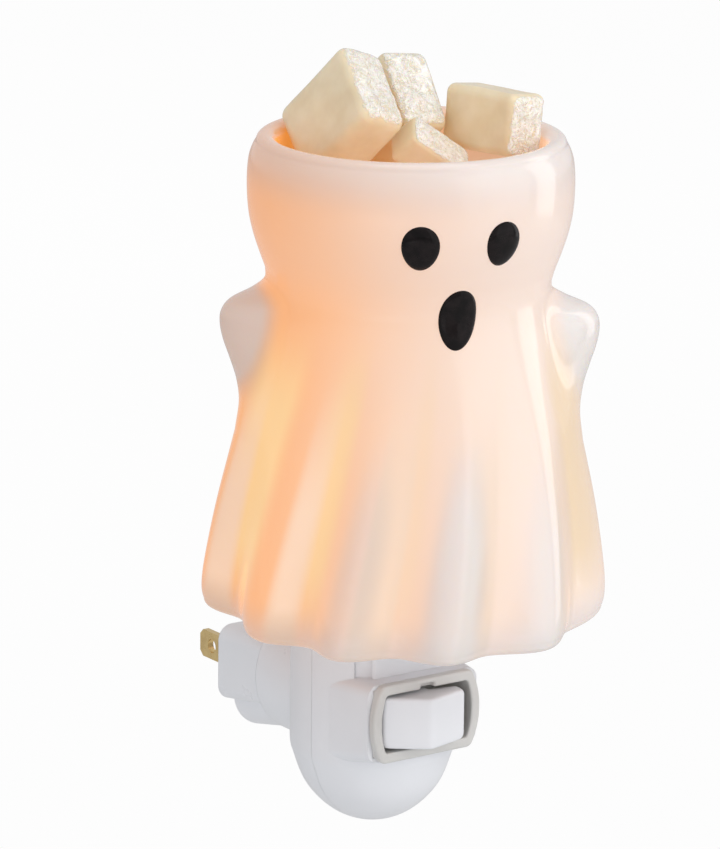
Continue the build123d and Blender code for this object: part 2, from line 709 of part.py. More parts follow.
def make_rocker():
    """The two-faced rocker on its hub, tilted to rest with its left face raised."""
    half, skirt = ROCKER_WIDTH / 2, ROCKER_REACH - ROCKER_RISE
    inner = skirt - ROCKER_SKIRT
    low, high = -ROCKER_TALL / 2, ROCKER_TALL / 2
    outline = Polyline(
        (-half, -skirt),
        (0, -ROCKER_REACH),
        (half, -skirt),
        (half - PIN_RADIUS / 2, -inner),
        (PIN_RADIUS / 2 - half, -inner),
        close=True,
    )
    cap = Pos(0, 0, low) * extrude(make_face(outline), ROCKER_TALL)
    ridge = cap.edges().filter_by(Axis.Z).sort_by(Axis.Y)[0]
    cap = fillet(ridge, ROCKER_RIDGE)
    front = Plane(origin=(0, 0, 0), x_dir=(1, 0, 0), z_dir=(0, -1, 0))
    cap &= extrude(front * RectangleRounded(ROCKER_WIDTH, ROCKER_TALL, ROCKER_CORNER), 2 * ROCKER_REACH)
    hub = rod_z(ROCKER_HUB_RADIUS, low, high)
    web = block((-ROCKER_HUB_RADIUS, ROCKER_HUB_RADIUS), (-inner - PIN_RADIUS, 0), (low, high))
    tail_half = ROCKER_TAIL_WIDTH / 2
    tail = block((-tail_half, tail_half), (0, ROCKER_TAIL), (-CONTACT_WIDTH, CONTACT_WIDTH))
    rocker = cap + web + hub + tail - rod_z(PIN_RADIUS + PIN_FIT, low, high)
    return one_solid(rocker)


def tilt(shape):
    """Turns a piece of the rocker about its pin, from square to rest."""
    return Pos(0, PIVOT_Y, 0) * Rot(0, 0, -ROCKER_TILT_DEG) * shape


def make_moving_contact():
    """The sprung strip and button on the rocker's tail."""
    face = ROCKER_TAIL_WIDTH / 2
    half = CONTACT_WIDTH / 2
    near, far = ROCKER_HUB_RADIUS, ROCKER_TAIL
    strip = block((face, face + CONTACT_THICKNESS), (near, far), (-half, half))
    button = Pos(face + CONTACT_THICKNESS, (near + far) / 2, 0) * Rot(0, 90, 0)
    return strip + button * Cylinder(CONTACT_BUTTON, CONTACT_THICKNESS, align=MIN_ALIGN)


def make_fixed_contact():
    """The contact that the rocker closes on, with its tab out of the switch's back."""
    face = ROCKER_TAIL_WIDTH / 2 + 2 * CONTACT_THICKNESS + SWIVEL_GAP
    half = CONTACT_WIDTH / 2
    pad = tilt(block((face, face + TAB_THICKNESS), (ROCKER_HUB_RADIUS, ROCKER_TAIL), (-half, half)))
    box = pad.bounding_box()
    step_y = SWITCH_BACK_Y - 2 * SWITCH_BACK_WALL
    arm = block((box.max.X - TAB_THICKNESS, box.max.X), (box.center().Y, step_y), (-half, half))
    step = block(
        (box.max.X - TAB_THICKNESS, TAB_X + TAB_THICKNESS / 2),
        (step_y - TAB_THICKNESS / 2, step_y + TAB_THICKNESS / 2),
        (-half, half),
    )
    return one_solid(pad + arm + step + make_tab(TAB_X, step_y))


def make_tab(x, from_y):
    """A flat terminal tab through the switch's back wall."""
    half = TAB_THICKNESS / 2
    wide = TAB_WIDTH / 2
    return block((x - half, x + half), (from_y, SWITCH_BACK_Y + TAB_LENGTH), (-wide, wide))


def make_common_contact():
    """The live tab with a wiper that bears on the rocker's hub."""
    step_y = SWITCH_BACK_Y - 2 * SWITCH_BACK_WALL
    half = CONTACT_WIDTH / 2
    hub_x = -(ROCKER_HUB_RADIUS + SWIVEL_GAP)
    wiper = block((hub_x - TAB_THICKNESS, hub_x), (PIVOT_Y, step_y), (-half, half))
    step = block((-TAB_X, hub_x), (step_y - TAB_THICKNESS / 2, step_y + TAB_THICKNESS / 2), (-half, half))
    return one_solid(wiper + step + make_tab(-TAB_X, step_y))


def make_seat():
    """The shade's seat: pedestal, disc, centring collar and the neck into the housing."""
    disc_z = SEAT_Z - SEAT_THICKNESS
    seat = rod_z(SEAT_RADIUS, disc_z, SEAT_Z, 0, SHADE_Y)
    seat += rod_z(COLLAR_RADIUS, SEAT_Z - SEAT_THICKNESS, SEAT_Z + COLLAR_HEIGHT, 0, SHADE_Y)
    seat += rod_z(PEDESTAL_RADIUS, HOUSING_TOP, disc_z + SEAT_THICKNESS / 2, 0, PEDESTAL_Y)
    rib_low = HOUSING_TOP + PEDESTAL_FLOOR
    for turn in (-RIB_SPREAD_DEG, 0.0, RIB_SPREAD_DEG):
        rib = extrude(
            make_face(
                Polyline(
                    (PEDESTAL_RADIUS / 2, rib_low),
                    (PEDESTAL_RADIUS - PEDESTAL_BACK + CUT_OVERRUN, rib_low),
                    (SEAT_RADIUS - RIB_THICKNESS, disc_z),
                    (SEAT_RADIUS - RIB_THICKNESS, disc_z + SEAT_THICKNESS / 2),
                    (PEDESTAL_RADIUS / 2, disc_z + SEAT_THICKNESS / 2),
                    close=True,
                )
            ),
            RIB_THICKNESS / 2,
            both=True,
        )
        seat += Pos(0, SHADE_Y, 0) * Rot(0, 0, turn - 90.0) * Rot(90, 0, 0) * rib
    well = rod_z(SOCKET_RADIUS, SOCKET_Z, SEAT_Z + COLLAR_HEIGHT, 0, SHADE_Y)
    neck_bottom = HOUSING_TOP - HOUSING_WALL - NECK_FLANGE_THICKNESS
    seat += rod_z(NECK_RADIUS, neck_bottom, HOUSING_TOP, 0, NECK_Y)
    seat += rod_z(NECK_FLANGE_RADIUS, neck_bottom, HOUSING_TOP - HOUSING_WALL, 0, NECK_Y)
    bore = rod_z(NECK_BORE, neck_bottom, SOCKET_Z, 0, NECK_Y)
    return one_solid(seat - well - bore)


def shell_tab():
    """The socket shell's terminal, down through the socket's web."""
    half = SHELL_TAB_WIDTH / 2
    outer_y = SHADE_Y + SHELL_RADIUS
    low = SOCKET_Z + SOCKET_CELLAR / 3
    return block(
        (-WIRE_SPREAD - half, -WIRE_SPREAD + half),
        (outer_y - SHELL_TAB_THICKNESS, outer_y),
        (low, WELL_Z + SHELL_TAB_WIDTH),
    )


def make_socket_shell():
    """The plain-bored metal sleeve that the bulb's cap stands in."""
    sleeve = rod_z(SHELL_RADIUS, WELL_Z, WELL_Z + SHELL_HEIGHT, 0, SHADE_Y)
    bore = rod_z(SHELL_RADIUS - SHELL_WALL, WELL_Z, WELL_Z + SHELL_HEIGHT, 0, SHADE_Y)
    return one_solid(sleeve + shell_tab() - bore)


def make_centre_contact():
    """The contact under the bulb's tip: a pad, a stem through the web, and a tab."""
    pad = rod_z(BULB_TIP_RADIUS, WELL_Z, WELL_Z + CONTACT_THICKNESS, 0, SHADE_Y)
    stem = rod_z(CONTACT_BUTTON, WEB_Z - TAB_THICKNESS, WELL_Z, 0, SHADE_Y)
    half = SHELL_TAB_WIDTH / 2
    end_y = SHADE_Y + SHELL_RADIUS
    strip = block(
        (-half, WIRE_SPREAD + half), (SHADE_Y - half, SHADE_Y + half), (WEB_Z - TAB_THICKNESS, WEB_Z)
    )
    arm = block(
        (WIRE_SPREAD - half, WIRE_SPREAD + half), (SHADE_Y, end_y), (WEB_Z - TAB_THICKNESS, WEB_Z)
    )
    tab = block(
        (WIRE_SPREAD - half, WIRE_SPREAD + half),
        (end_y - SHELL_TAB_THICKNESS, end_y),
        (SOCKET_Z + SOCKET_CELLAR / 3, WEB_Z),
    )
    return one_solid(pad + stem + strip + arm + tab)


def make_socket_body(shell, contact):
    """The moulded lamp holder round the metal shell."""
    top = SOCKET_Z + SOCKET_HEIGHT
    body = rod_z(SOCKET_RADIUS, SOCKET_Z, top, 0, SHADE_Y)
    body -= rod_z(SOCKET_CELLAR_RADIUS, SOCKET_Z, WEB_Z, 0, SHADE_Y)
    body -= rod_z(SHELL_RADIUS, WELL_Z, top, 0, SHADE_Y)
    return one_solid(body - shell - contact)


def make_wire(points, bend=WIRE_BEND):
    """A round insulated wire along straight runs joined by arcs."""
    path = FilletPolyline(*points, radius=bend)
    start = Plane(origin=path @ 0, z_dir=path % 0)
    return sweep(start * Circle(WIRE_RADIUS), path=path)


def make_plug_lead(side):
    """The short lead from a blade's tail to the middle of the swivel."""
    tail_x = side * (BLADE_SPACING / 2 - BLADE_THICKNESS / 2 - WIRE_RADIUS)
    back = -(PLUG_LENGTH - SPIGOT_WALL)
    end = -(PLUG_LENGTH + SPIGOT_LENGTH)
    points = [
        (tail_x, back, -PLUG_DROP),
        (tail_x, back - TAIL_WIDTH, -PLUG_DROP),
        (side * WIRE_START_SPREAD, end + TAIL_WIDTH / 2, 0),
        (side * WIRE_START_SPREAD, end, 0),
    ]
    return make_wire(points, WIRE_RADIUS)


def make_wires():
    """The live lead to the switch, the switched lead and the neutral lead to the socket."""
    start_y = -(PLUG_LENGTH + SPIGOT_LENGTH + 2 * SWIVEL_GAP)
    tab_y = SWITCH_BACK_Y + TAB_LENGTH
    end_z = SOCKET_Z + SOCKET_CELLAR / 3
    turn_y = (start_y + tab_y) / 2
    neck_z = HOUSING_TOP - HOUSING_WALL - 3 * NECK_FLANGE_THICKNESS
    up_y = SHADE_Y + SHELL_RADIUS - SHELL_TAB_THICKNESS / 2
    live = make_wire(
        [
            (-WIRE_START_SPREAD, start_y, 0),
            (-WIRE_START_SPREAD, (start_y + turn_y) / 2, 0),
            (-TAB_X, turn_y - WIRE_BEND / 2, 0),
            (-TAB_X, tab_y, 0),
        ]
    )
    neutral = make_wire(
        [
            (WIRE_START_SPREAD, start_y, 0),
            (WIRE_START_SPREAD, (start_y + turn_y) / 2, 0),
            (-WIRE_SPREAD, turn_y, neck_z * NEUTRAL_LEVEL_SHARE),
            (-WIRE_SPREAD, up_y, neck_z),
            (-WIRE_SPREAD, up_y, end_z),
        ]
    )
    switched = make_wire(
        [
            (TAB_X, tab_y, 0),
            (TAB_X, turn_y, 0),
            (TAB_X, turn_y, neck_z * SWITCHED_LEVEL_SHARE),
            (WIRE_SPREAD, up_y, neck_z),
            (WIRE_SPREAD, up_y, end_z),
        ]
    )
    return live, neutral, switched


def make_bulb_tip():
    neck = rod_z(BULB_TIP_RADIUS, TIP_Z + BULB_TIP_HEIGHT / 2, BULB_INSULATOR_Z, 0, SHADE_Y)
    button = Pos(0, SHADE_Y, TIP_Z) * Cone(
        BULB_TIP_RADIUS * TIP_POINT_SHARE, BULB_TIP_RADIUS, BULB_TIP_HEIGHT / 2, align=MIN_ALIGN
    )
    return neck + button


def make_bulb_insulator():
    """The glass bead between the bulb's tip and its cap."""
    return Pos(0, SHADE_Y, BULB_INSULATOR_Z) * Cone(
        BULB_TIP_RADIUS * BEAD_LOW_SHARE, CAP_RADIUS * BEAD_HIGH_SHARE, BULB_INSULATOR_HEIGHT, align=MIN_ALIGN
    )


def make_bulb_cap():
    """The bulb's metal cap, a thin cup that the glass is cemented into."""
    cap = rod_z(CAP_RADIUS, CAP_Z, GLASS_Z, 0, SHADE_Y)
    return cap - rod_z(GLASS_NECK_RADIUS, CAP_Z + GLASS_WALL, GLASS_Z, 0, SHADE_Y)


def glass_form(inset, bottom):
    """The glass's outer form, drawn in by an inset, from a height upwards."""
    points = [(GLASS_NECK_RADIUS - inset, GLASS_Z)]
    for up, out in GLASS_SHARES:
        points.append((GLASS_RADIUS * out - inset, GLASS_Z + GLASS_HEIGHT * up))
    points.append((0, GLASS_Z + GLASS_HEIGHT - inset))
    curve = Spline(*points, tangents=[(0, 1), (-1, 0)])
    outline = [
        Line((0, bottom), (GLASS_NECK_RADIUS - inset, bottom)),
        Line((GLASS_NECK_RADIUS - inset, bottom), points[0]),
        curve,
        Line(points[-1], (0, bottom)),
    ]
    return Pos(0, SHADE_Y, 0) * revolve(make_face(Plane.XZ * (Curve() + outline)), Axis.Z)


def make_glass():
    bottom = GLASS_Z - CAP_HEIGHT / 2
    return one_solid(glass_form(0.0, bottom) - glass_form(GLASS_WALL, bottom))


def make_stem():
    """The glass mount inside the bulb, with its flare down to the neck's wall."""
    bottom = GLASS_Z - CAP_HEIGHT / 2
    flare = Pos(0, SHADE_Y, bottom) * Cone(
        GLASS_NECK_RADIUS - GLASS_WALL, MOUNT_RADIUS, CAP_HEIGHT / 2, align=MIN_ALIGN
    )
    return flare + rod_z(MOUNT_RADIUS, GLASS_Z, GLASS_Z + MOUNT_HEIGHT, 0, SHADE_Y)


def make_filament():
    """Two support wires and the filament between them, as one bent wire."""
    low = GLASS_Z + MOUNT_HEIGHT
    high = low + FILAMENT_RISE
    inner = MOUNT_RADIUS / 2
    points = [
        (-inner, SHADE_Y, low),
        (-FILAMENT_SPREAD, SHADE_Y, high - FILAMENT_RISE / 3),
        (-FILAMENT_SPREAD / 2, SHADE_Y, high),
        (0, SHADE_Y, high - FILAMENT_RISE / 8),
        (FILAMENT_SPREAD / 2, SHADE_Y, high),
        (FILAMENT_SPREAD, SHADE_Y, high - FILAMENT_RISE / 3),
        (inner, SHADE_Y, low),
    ]
    path = FilletPolyline(*points, radius=FILAMENT_RADIUS * FILAMENT_BEND_SHARE)
    start = Plane(origin=path @ 0, z_dir=path % 0)
    wire = sweep(start * Circle(FILAMENT_RADIUS), path=path)
    return one_solid(wire - rod_z(MOUNT_RADIUS, GLASS_Z, low, 0, SHADE_Y))


def make_melts():
    """The wax pieces as they lie in the dish, leaning on it and on each other."""
    melts = {}
    for name, (place, turn, (wide, long, thick)) in MELTS.items():
        solid = Box(MELT_WIDTH * wide, MELT_LENGTH * long, MELT_THICKNESS * thick)
        solid = fillet(solid.edges(), MELT_EDGE * min(wide, long, thick))
        x = place[0] * DISH_RADIUS
        y = SHADE_Y + place[1] * DISH_RADIUS
        z = DISH_FLOOR_Z + place[2] * DISH_DEPTH
        melts[name] = Pos(x, y, z) * Rot(*turn) * solid
    return melts


def build_parts():
    live = make_blade(-BLADE_SPACING / 2, LIVE_WIDTH)
    neutral = make_blade(BLADE_SPACING / 2, NEUTRAL_WIDTH)
    rear_shell, front_shell = make_shells()
    shade = make_shade()
    socket_shell = make_socket_shell()
    centre_contact = make_centre_contact()
    fixed_contact = make_fixed_contact()
    common_contact = make_common_contact()
    live_lead, neutral_lead, switched_lead = make_wires()
    pin_half = SWITCH_TALL / 2 - BEZEL_FRAME + SWITCH_WALL
    parts = {
        "plug_body": make_plug([live, neutral]),
        "live_blade": live,
        "neutral_blade": neutral,
        "swivel_retainer": make_retainer(),
        "rear_shell": rear_shell,
        "front_shell": front_shell,
        "housing_screws": make_screws(),
        "switch_frame": make_switch_frame([fixed_contact, common_contact]),
        "rocker": tilt(make_rocker()),
        "rocker_pin": rod_z(PIN_RADIUS, -pin_half, pin_half, 0, PIVOT_Y),
        "moving_contact": tilt(make_moving_contact()),
        "fixed_contact": fixed_contact,
        "common_contact": common_contact,
        "live_plug_lead": make_plug_lead(-1),
        "neutral_plug_lead": make_plug_lead(1),
        "live_lead": live_lead,
        "neutral_lead": neutral_lead,
        "switched_lead": switched_lead,
        "shade_seat": make_seat(),
        "socket_body": make_socket_body(socket_shell, centre_contact),
        "socket_shell": socket_shell,
        "socket_centre_contact": centre_contact,
        "bulb_tip": make_bulb_tip(),
        "bulb_insulator": make_bulb_insulator(),
        "bulb_cap": make_bulb_cap(),
        "bulb_glass": make_glass(),
        "bulb_stem": make_stem(),
        "bulb_filament": make_filament(),
        "ghost_shade": shade,
    }
    parts["left_eye"] = glaze_spot(-EYE_SPREAD_DEG, EYE_DOWN, EYE_WIDTH, EYE_TALL, EYE_PROUD, 0.0, shade)
    parts["right_eye"] = glaze_spot(EYE_SPREAD_DEG, EYE_DOWN, EYE_WIDTH, EYE_TALL, EYE_PROUD, -EYE_LEAN_DEG, shade)
    parts["mouth"] = glaze_spot(0.0, MOUTH_DOWN, MOUTH_WIDTH, MOUTH_TALL, MOUTH_PROUD, -EYE_LEAN_DEG, shade)
    parts.update(make_melts())
    return parts


def main():
    os.makedirs("parts", exist_ok=True)
    for name, shape in build_parts().items():
        export_step(shape, os.path.join("parts", name + ".step"))


main()
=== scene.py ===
"""Looks for the ghost wax melt warmer: glazed shade, wax, plastics, metals, light and camera."""

import math

import bpy
import numpy as np
from mathutils import Matrix, Vector, noise


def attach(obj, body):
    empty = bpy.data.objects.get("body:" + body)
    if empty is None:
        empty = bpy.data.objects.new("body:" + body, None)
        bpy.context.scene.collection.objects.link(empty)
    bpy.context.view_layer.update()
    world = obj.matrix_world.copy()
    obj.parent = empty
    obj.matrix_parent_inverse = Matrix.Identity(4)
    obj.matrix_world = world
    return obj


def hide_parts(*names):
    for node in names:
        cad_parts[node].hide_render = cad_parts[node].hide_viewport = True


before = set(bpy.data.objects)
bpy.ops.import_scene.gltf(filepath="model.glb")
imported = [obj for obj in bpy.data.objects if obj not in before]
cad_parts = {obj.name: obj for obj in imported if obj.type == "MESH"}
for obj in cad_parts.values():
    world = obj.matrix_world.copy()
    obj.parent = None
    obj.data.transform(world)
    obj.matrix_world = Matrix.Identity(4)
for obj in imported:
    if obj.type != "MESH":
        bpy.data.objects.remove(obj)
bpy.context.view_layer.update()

MM = 0.001

# The part's own sizes, as in its source: millimetres, degrees, and shares of the shade's height
SHADE_Y = -54.5
HEM_Z = 23.8
SHADE_HEIGHT = 104.5
RIM_Z = HEM_Z + SHADE_HEIGHT
SHADE_RADIUS = 44.0
SHADE_WALL = 3.8
SEAT_Z = 27.5
FLOOR_TOP_Z = 31.5
HOLE_RADIUS = 16.5
DISH_RADIUS = 28.6
DISH_DEPTH = 14.2
DISH_FLOOR_Z = RIM_Z - DISH_DEPTH
DISH_CORNER = 8.0
DISH_LIP = 2.6
DISH_BASE = 4.2
ROOF_Z = DISH_FLOOR_Z - DISH_BASE
CREST_RADIUS = 31.4
FACE_TURN = -16.0
ARM_TURN = -28.0
ARM_REACH = 10.2
ARM_HALF = 27.0
ARM_LIFT = 1.2
FOLD_REACH = 5.7
FOLD_SWIRL = 13.0
FOLD_TOP = 0.62
FOLD_EASE = 1.3

# The outline of the shade, by height, as shares of its radius
PROFILE = np.array(
    [
        (0.000, 0.955), (0.022, 0.992), (0.060, 1.000), (0.134, 0.978), (0.230, 0.937),
        (0.325, 0.886), (0.421, 0.830), (0.500, 0.773), (0.574, 0.725), (0.632, 0.696),
        (0.680, 0.687), (0.718, 0.705), (0.756, 0.737), (0.799, 0.770), (0.842, 0.791),
        (0.900, 0.799), (0.947, 0.792), (0.971, 0.775), (0.988, 0.750), (1.000, 0.714),
    ]
)
# How far an arm stands out, by height, as shares of its reach
ARM = np.array(
    [
        (0.370, 0.00), (0.430, 0.09), (0.480, 0.31), (0.524, 0.58), (0.566, 0.84), (0.600, 0.98),
        (0.625, 0.99), (0.646, 0.84), (0.664, 0.44), (0.684, 0.10), (0.710, 0.00),
    ]
)
# The crests and valleys at the hem, by azimuth, as shares of the deepest fold's reach
FOLDS = np.array(
    [
        (-180.0, -0.45), (-161.0, 0.15), (-140.0, -0.40), (-121.0, 0.12), (-102.0, -0.74),
        (-80.0, 0.28), (-67.0, -0.28), (-53.0, 0.86), (-39.0, 0.00), (-25.0, 1.00), (-11.5, 0.12),
        (4.0, 0.65), (22.5, -0.33), (46.0, -0.10), (66.0, -0.40), (86.0, 0.18), (104.0, -0.50),
        (123.0, 0.10), (142.0, -0.45), (161.0, 0.12), (180.0, -0.45),
    ]
)


# Curves and the shade's form
def step(value, low, high):
    """0 up to one value, 1 from another, and an eased rise between them."""
    t = np.clip((value - low) / (high - low), 0.0, 1.0)
    return t * t * (3 - 2 * t)


def quarter(count, first=0.0):
    """Steps round a quarter circle: the step's share, and how far it has gone across and up."""
    for t in np.linspace(first, 1.0, count):
        yield t, 1 - math.cos(t * math.pi / 2), math.sin(t * math.pi / 2)


def table(x, pairs):
    """A smooth curve through a table's pairs, for an array of places."""
    xs, ys = pairs[:, 0], pairs[:, 1]
    order = np.arange(len(xs))
    before, after = np.maximum(order - 1, 0), np.minimum(order + 1, len(xs) - 1)
    slopes = (ys[after] - ys[before]) / (xs[after] - xs[before])
    x = np.clip(x, xs[0], xs[-1])
    k = np.clip(np.searchsorted(xs, x, side="right") - 1, 0, len(xs) - 2)
    h = xs[k + 1] - xs[k]
    t = (x - xs[k]) / h
    a = (2 * t**3 - 3 * t**2 + 1) * ys[k] + (t**3 - 2 * t**2 + t) * h * slopes[k]
    return a + (3 * t**2 - 2 * t**3) * ys[k + 1] + (t**3 - t**2) * h * slopes[k + 1]


def half_turn(azimuth):
    """The same direction as an angle from -180 to 180 degrees."""
    return (azimuth + 180.0) % 360.0 - 180.0


def folds(azimuth):
    """The hem's crests and valleys, each eased into the next."""
    a = half_turn(azimuth)
    k = np.clip(np.searchsorted(FOLDS[:, 0], a, side="right") - 1, 0, len(FOLDS) - 2)
    t = (a - FOLDS[k, 0]) / (FOLDS[k + 1, 0] - FOLDS[k, 0])
    ease = (1 - np.cos(np.pi * t)) / 2
    return FOLDS[k, 1] + (FOLDS[k + 1, 1] - FOLDS[k, 1]) * ease


def fold_share(up):
    """0 at the hem and 1 where the folds have run out."""
    return np.clip(up / FOLD_TOP, 0.0, 1.0)


def folds_at(azimuth, up):
    """The fold that a place on the skirt belongs to, since the folds lean as they rise."""
    return folds(azimuth - FOLD_SWIRL * fold_share(up))


def arms(azimuth, up):
    total = 0.0
    for side in (-1, 1):
        turn = half_turn(azimuth - ARM_TURN - side * 90.0)
        lobe = np.where(np.abs(turn) < ARM_HALF, np.cos(np.pi / 2 * turn / ARM_HALF) ** 2, 0.0)
        total = total + table(up + side * ARM_LIFT / SHADE_HEIGHT, ARM) * lobe
    return total


def shade_radius(azimuth, up):
    """The shade's outer radius in millimetres."""
    azimuth, up = np.asarray(azimuth, float), np.asarray(up, float)
    radius = SHADE_RADIUS * table(up, PROFILE)
    depth = (1 - fold_share(up)) ** FOLD_EASE
    radius = radius + FOLD_REACH * depth * folds_at(azimuth, up)
    return radius + ARM_REACH * arms(azimuth, up)


def shade_point(azimuth, up, out):
    """A point on the shade's outside in metres, pushed outwards by a distance in millimetres."""
    radius = shade_radius(azimuth, up) + out
    a = np.radians(azimuth)
    x = radius * np.sin(a)
    y = SHADE_Y - radius * np.cos(a)
    z = HEM_Z + np.asarray(up) * SHADE_HEIGHT + 0 * a
    return np.stack([x, y, z], -1) * MM


# Mesh helpers
def mesh_object(name, points, faces, material, smooth=True):
    mesh = bpy.data.meshes.new(name)
    mesh.from_pydata([tuple(p) for p in points], [], faces)
    mesh.update()
    if smooth:
        mesh.polygons.foreach_set("use_smooth", [True] * len(mesh.polygons))
    mesh.materials.append(material)
    obj = bpy.data.objects.new(name, mesh)
    bpy.context.collection.objects.link(obj)
    return obj


def point_values(obj, name, values):
    """A named value at each point of a mesh, for its material to read."""
    held = obj.data.attributes.new(name, "FLOAT", "POINT")
    held.data.foreach_set("value", np.asarray(values, np.float32))


def ring_faces(rows, columns):
    """Quads between rings of points, each ring closed on itself."""
    faces = []
    for i in range(rows - 1):
        low, high = i * columns, (i + 1) * columns
        for j in range(columns):
            k = (j + 1) % columns
            faces.append((low + j, low + k, high + k, high + j))
    return faces


# Node helpers
def new_material(name):
    material = bpy.data.materials.new(name)
    material.use_nodes = True
    tree = material.node_tree
    return material, tree, tree.nodes["Principled BSDF"]


def node(tree, kind, **settings):
    made = tree.nodes.new(kind)
    for key, value in settings.items():
        if key in made.inputs:
            made.inputs[key].default_value = value
        else:
            setattr(made, key, value)
    return made


def link(tree, out, into):
    tree.links.new(out, into)


def set_inputs(shader, values):
    """Values that are the same all over a material, set on the shader's own sockets."""
    for name, value in values.items():
        shader.inputs[name].default_value = value


def math_node(tree, operation, *values, clamp=False):
    made = node(tree, "ShaderNodeMath", operation=operation, use_clamp=clamp)
    for socket, value in zip(made.inputs, values):
        if isinstance(value, (int, float)):
            socket.default_value = value
        else:
            link(tree, value, socket)
    return made.outputs[0]


def scaled(tree, value, gain, start, clamp=False):
    """A value times a gain, added to a start."""
    return math_node(tree, "MULTIPLY_ADD", value, gain, start, clamp=clamp)


def ramp(tree, factor, *stops):
    """A colour that follows a factor through stops, each a place and its colour."""
    made = tree.nodes.new("ShaderNodeValToRGB")
    elements = made.color_ramp.elements
    for element, (place, colour) in zip(elements, (stops[0], stops[-1])):
        element.position, element.color = place, (*colour, 1)
    for place, colour in stops[1:-1]:
        elements.new(place).color = (*colour, 1)
    link(tree, factor, made.inputs[0])
    return made.outputs[0]


def attribute(tree, name):
    return node(tree, "ShaderNodeAttribute", attribute_name=name).outputs["Fac"]


def mix_colour(tree, factor, first, second):
    made = node(tree, "ShaderNodeMix", data_type="RGBA")
    link(tree, factor, made.inputs["Factor"])
    for value, socket in ((first, made.inputs[6]), (second, made.inputs[7])):
        if isinstance(value, tuple):
            socket.default_value = (*value, 1)
        else:
            link(tree, value, socket)
    return made.outputs[2]


def surface_noise(tree, scale, detail=3.0):
    place = tree.nodes.new("ShaderNodeTexCoord")
    made = node(tree, "ShaderNodeTexNoise", Scale=scale, Detail=detail, Roughness=0.55)
    link(tree, place.outputs["Object"], made.inputs["Vector"])
    return made.outputs["Fac"]


def add_bump(tree, shader, height, strength, distance, eased=None):
    """A fine relief in millimetres, over edges eased by a radius in millimetres."""
    bump = node(tree, "ShaderNodeBump", Strength=strength, Distance=distance * MM)
    link(tree, height, bump.inputs["Height"])
    if eased is not None:
        edges = node(tree, "ShaderNodeBevel", Radius=eased * MM, samples=6)
        link(tree, edges.outputs["Normal"], bump.inputs["Normal"])
    link(tree, bump.outputs["Normal"], shader.inputs["Normal"])


def camera_or_light(tree, seen, unseen, into):
    """One shader for what the camera sees directly, and another for the light on the object."""
    rays = tree.nodes.new("ShaderNodeLightPath")
    pick = tree.nodes.new("ShaderNodeMixShader")
    link(tree, rays.outputs["Is Camera Ray"], pick.inputs[0])
    link(tree, unseen, pick.inputs[1])
    link(tree, seen, pick.inputs[2])
    link(tree, pick.outputs[0], into)


# Materials
def plastic(name, light, dark, rough, coat=0.0):
    """A moulded plastic: two close colours mixed by noise, with a fine grain and eased edges."""
    material, tree, shader = new_material(name)
    cloud = surface_noise(tree, scale=45.0, detail=2.0)
    link(tree, ramp(tree, cloud, (0.3, dark), (0.7, light)), shader.inputs["Base Color"])
    wear = surface_noise(tree, scale=120.0)
    link(tree, scaled(tree, wear, 0.12, rough - 0.06), shader.inputs["Roughness"])
    grain = surface_noise(tree, scale=900.0, detail=2.0)
    add_bump(tree, shader, grain, strength=0.05, distance=0.3, eased=0.4)
    set_inputs(shader, {"Coat Weight": coat, "Coat Roughness": 0.12})
    return material


def metal(name, light, dark, rough):
    """A drawn metal: mottled colour and roughness."""
    material, tree, shader = new_material(name)
    mottle = surface_noise(tree, scale=400.0, detail=4.0)
    link(tree, ramp(tree, mottle, (0.25, dark), (0.75, light)), shader.inputs["Base Color"])
    link(tree, scaled(tree, mottle, 0.2, rough - 0.1), shader.inputs["Roughness"])
    add_bump(tree, shader, mottle, strength=0.08, distance=0.2, eased=0.12)
    set_inputs(shader, {"Metallic": 1.0})
    return material


def porcelain(name):
    """White glazed porcelain with a painted glow for the bulb's light through it, and painted shade by
    side, by the values held at each point of the shade.
    """
    material, tree, shader = new_material(name)
    side, valley = attribute(tree, "side"), attribute(tree, "valley")
    patch = scaled(tree, surface_noise(tree, scale=26.0, detail=2.0), 0.24, 0.88)
    glow = math_node(tree, "MULTIPLY", attribute(tree, "glow"), patch, clamp=True)
    glowing_valley = math_node(tree, "MULTIPLY", valley, glow)
    glowing_flank = math_node(tree, "MULTIPLY", attribute(tree, "lit"), glow)

    # painted glow standing in for the bulb's light through the wall: its colour by side, valley and lit
    # flank, its strength by the glow value
    glow_colour = mix_colour(tree, side, (0.82, 0.25, 0.01), (0.79, 0.43, 0.27))
    glow_colour = mix_colour(tree, valley, glow_colour, (0.79, 0.43, 0.08))
    glow_colour = mix_colour(tree, glowing_flank, glow_colour, (0.66, 0.31, 0.14))
    link(tree, glow_colour, shader.inputs["Emission Color"])
    link(tree, glow, shader.inputs["Emission Strength"])

    # the glaze, darker where the painted glow is strong, so that the two together stay below white;
    # painted shade on the side away from the main light, painted light on the side facing it, and the
    # glowing valleys and lit flanks painted to go with the glow
    shaded = ramp(
        tree, glow, (0.0, (0.70, 0.64, 0.61)), (0.5, (0.42, 0.36, 0.31)), (1.0, (0.22, 0.18, 0.11))
    )
    bright = ramp(
        tree, glow, (0.0, (0.73, 0.71, 0.70)), (0.5, (0.47, 0.51, 0.52)), (1.0, (0.25, 0.37, 0.36))
    )
    base = mix_colour(tree, side, shaded, bright)
    base = mix_colour(tree, glowing_valley, base, (0.30, 0.31, 0.29))
    base = mix_colour(tree, glowing_flank, base, (0.38, 0.43, 0.40))
    link(tree, base, shader.inputs["Base Color"])
    link(tree, scaled(tree, surface_noise(tree, scale=90.0), 0.05, 0.15), shader.inputs["Roughness"])
    add_bump(tree, shader, surface_noise(tree, scale=60.0, detail=2.0), strength=0.05, distance=1.0)
    set_inputs(
        shader,
        {
            "Subsurface Weight": 0.2,
            "Subsurface Radius": (0.004, 0.002, 0.001),
            "Subsurface Scale": 0.8,
            "Coat Weight": 0.6,
            "Coat Roughness": 0.05,
        },
    )
    return material


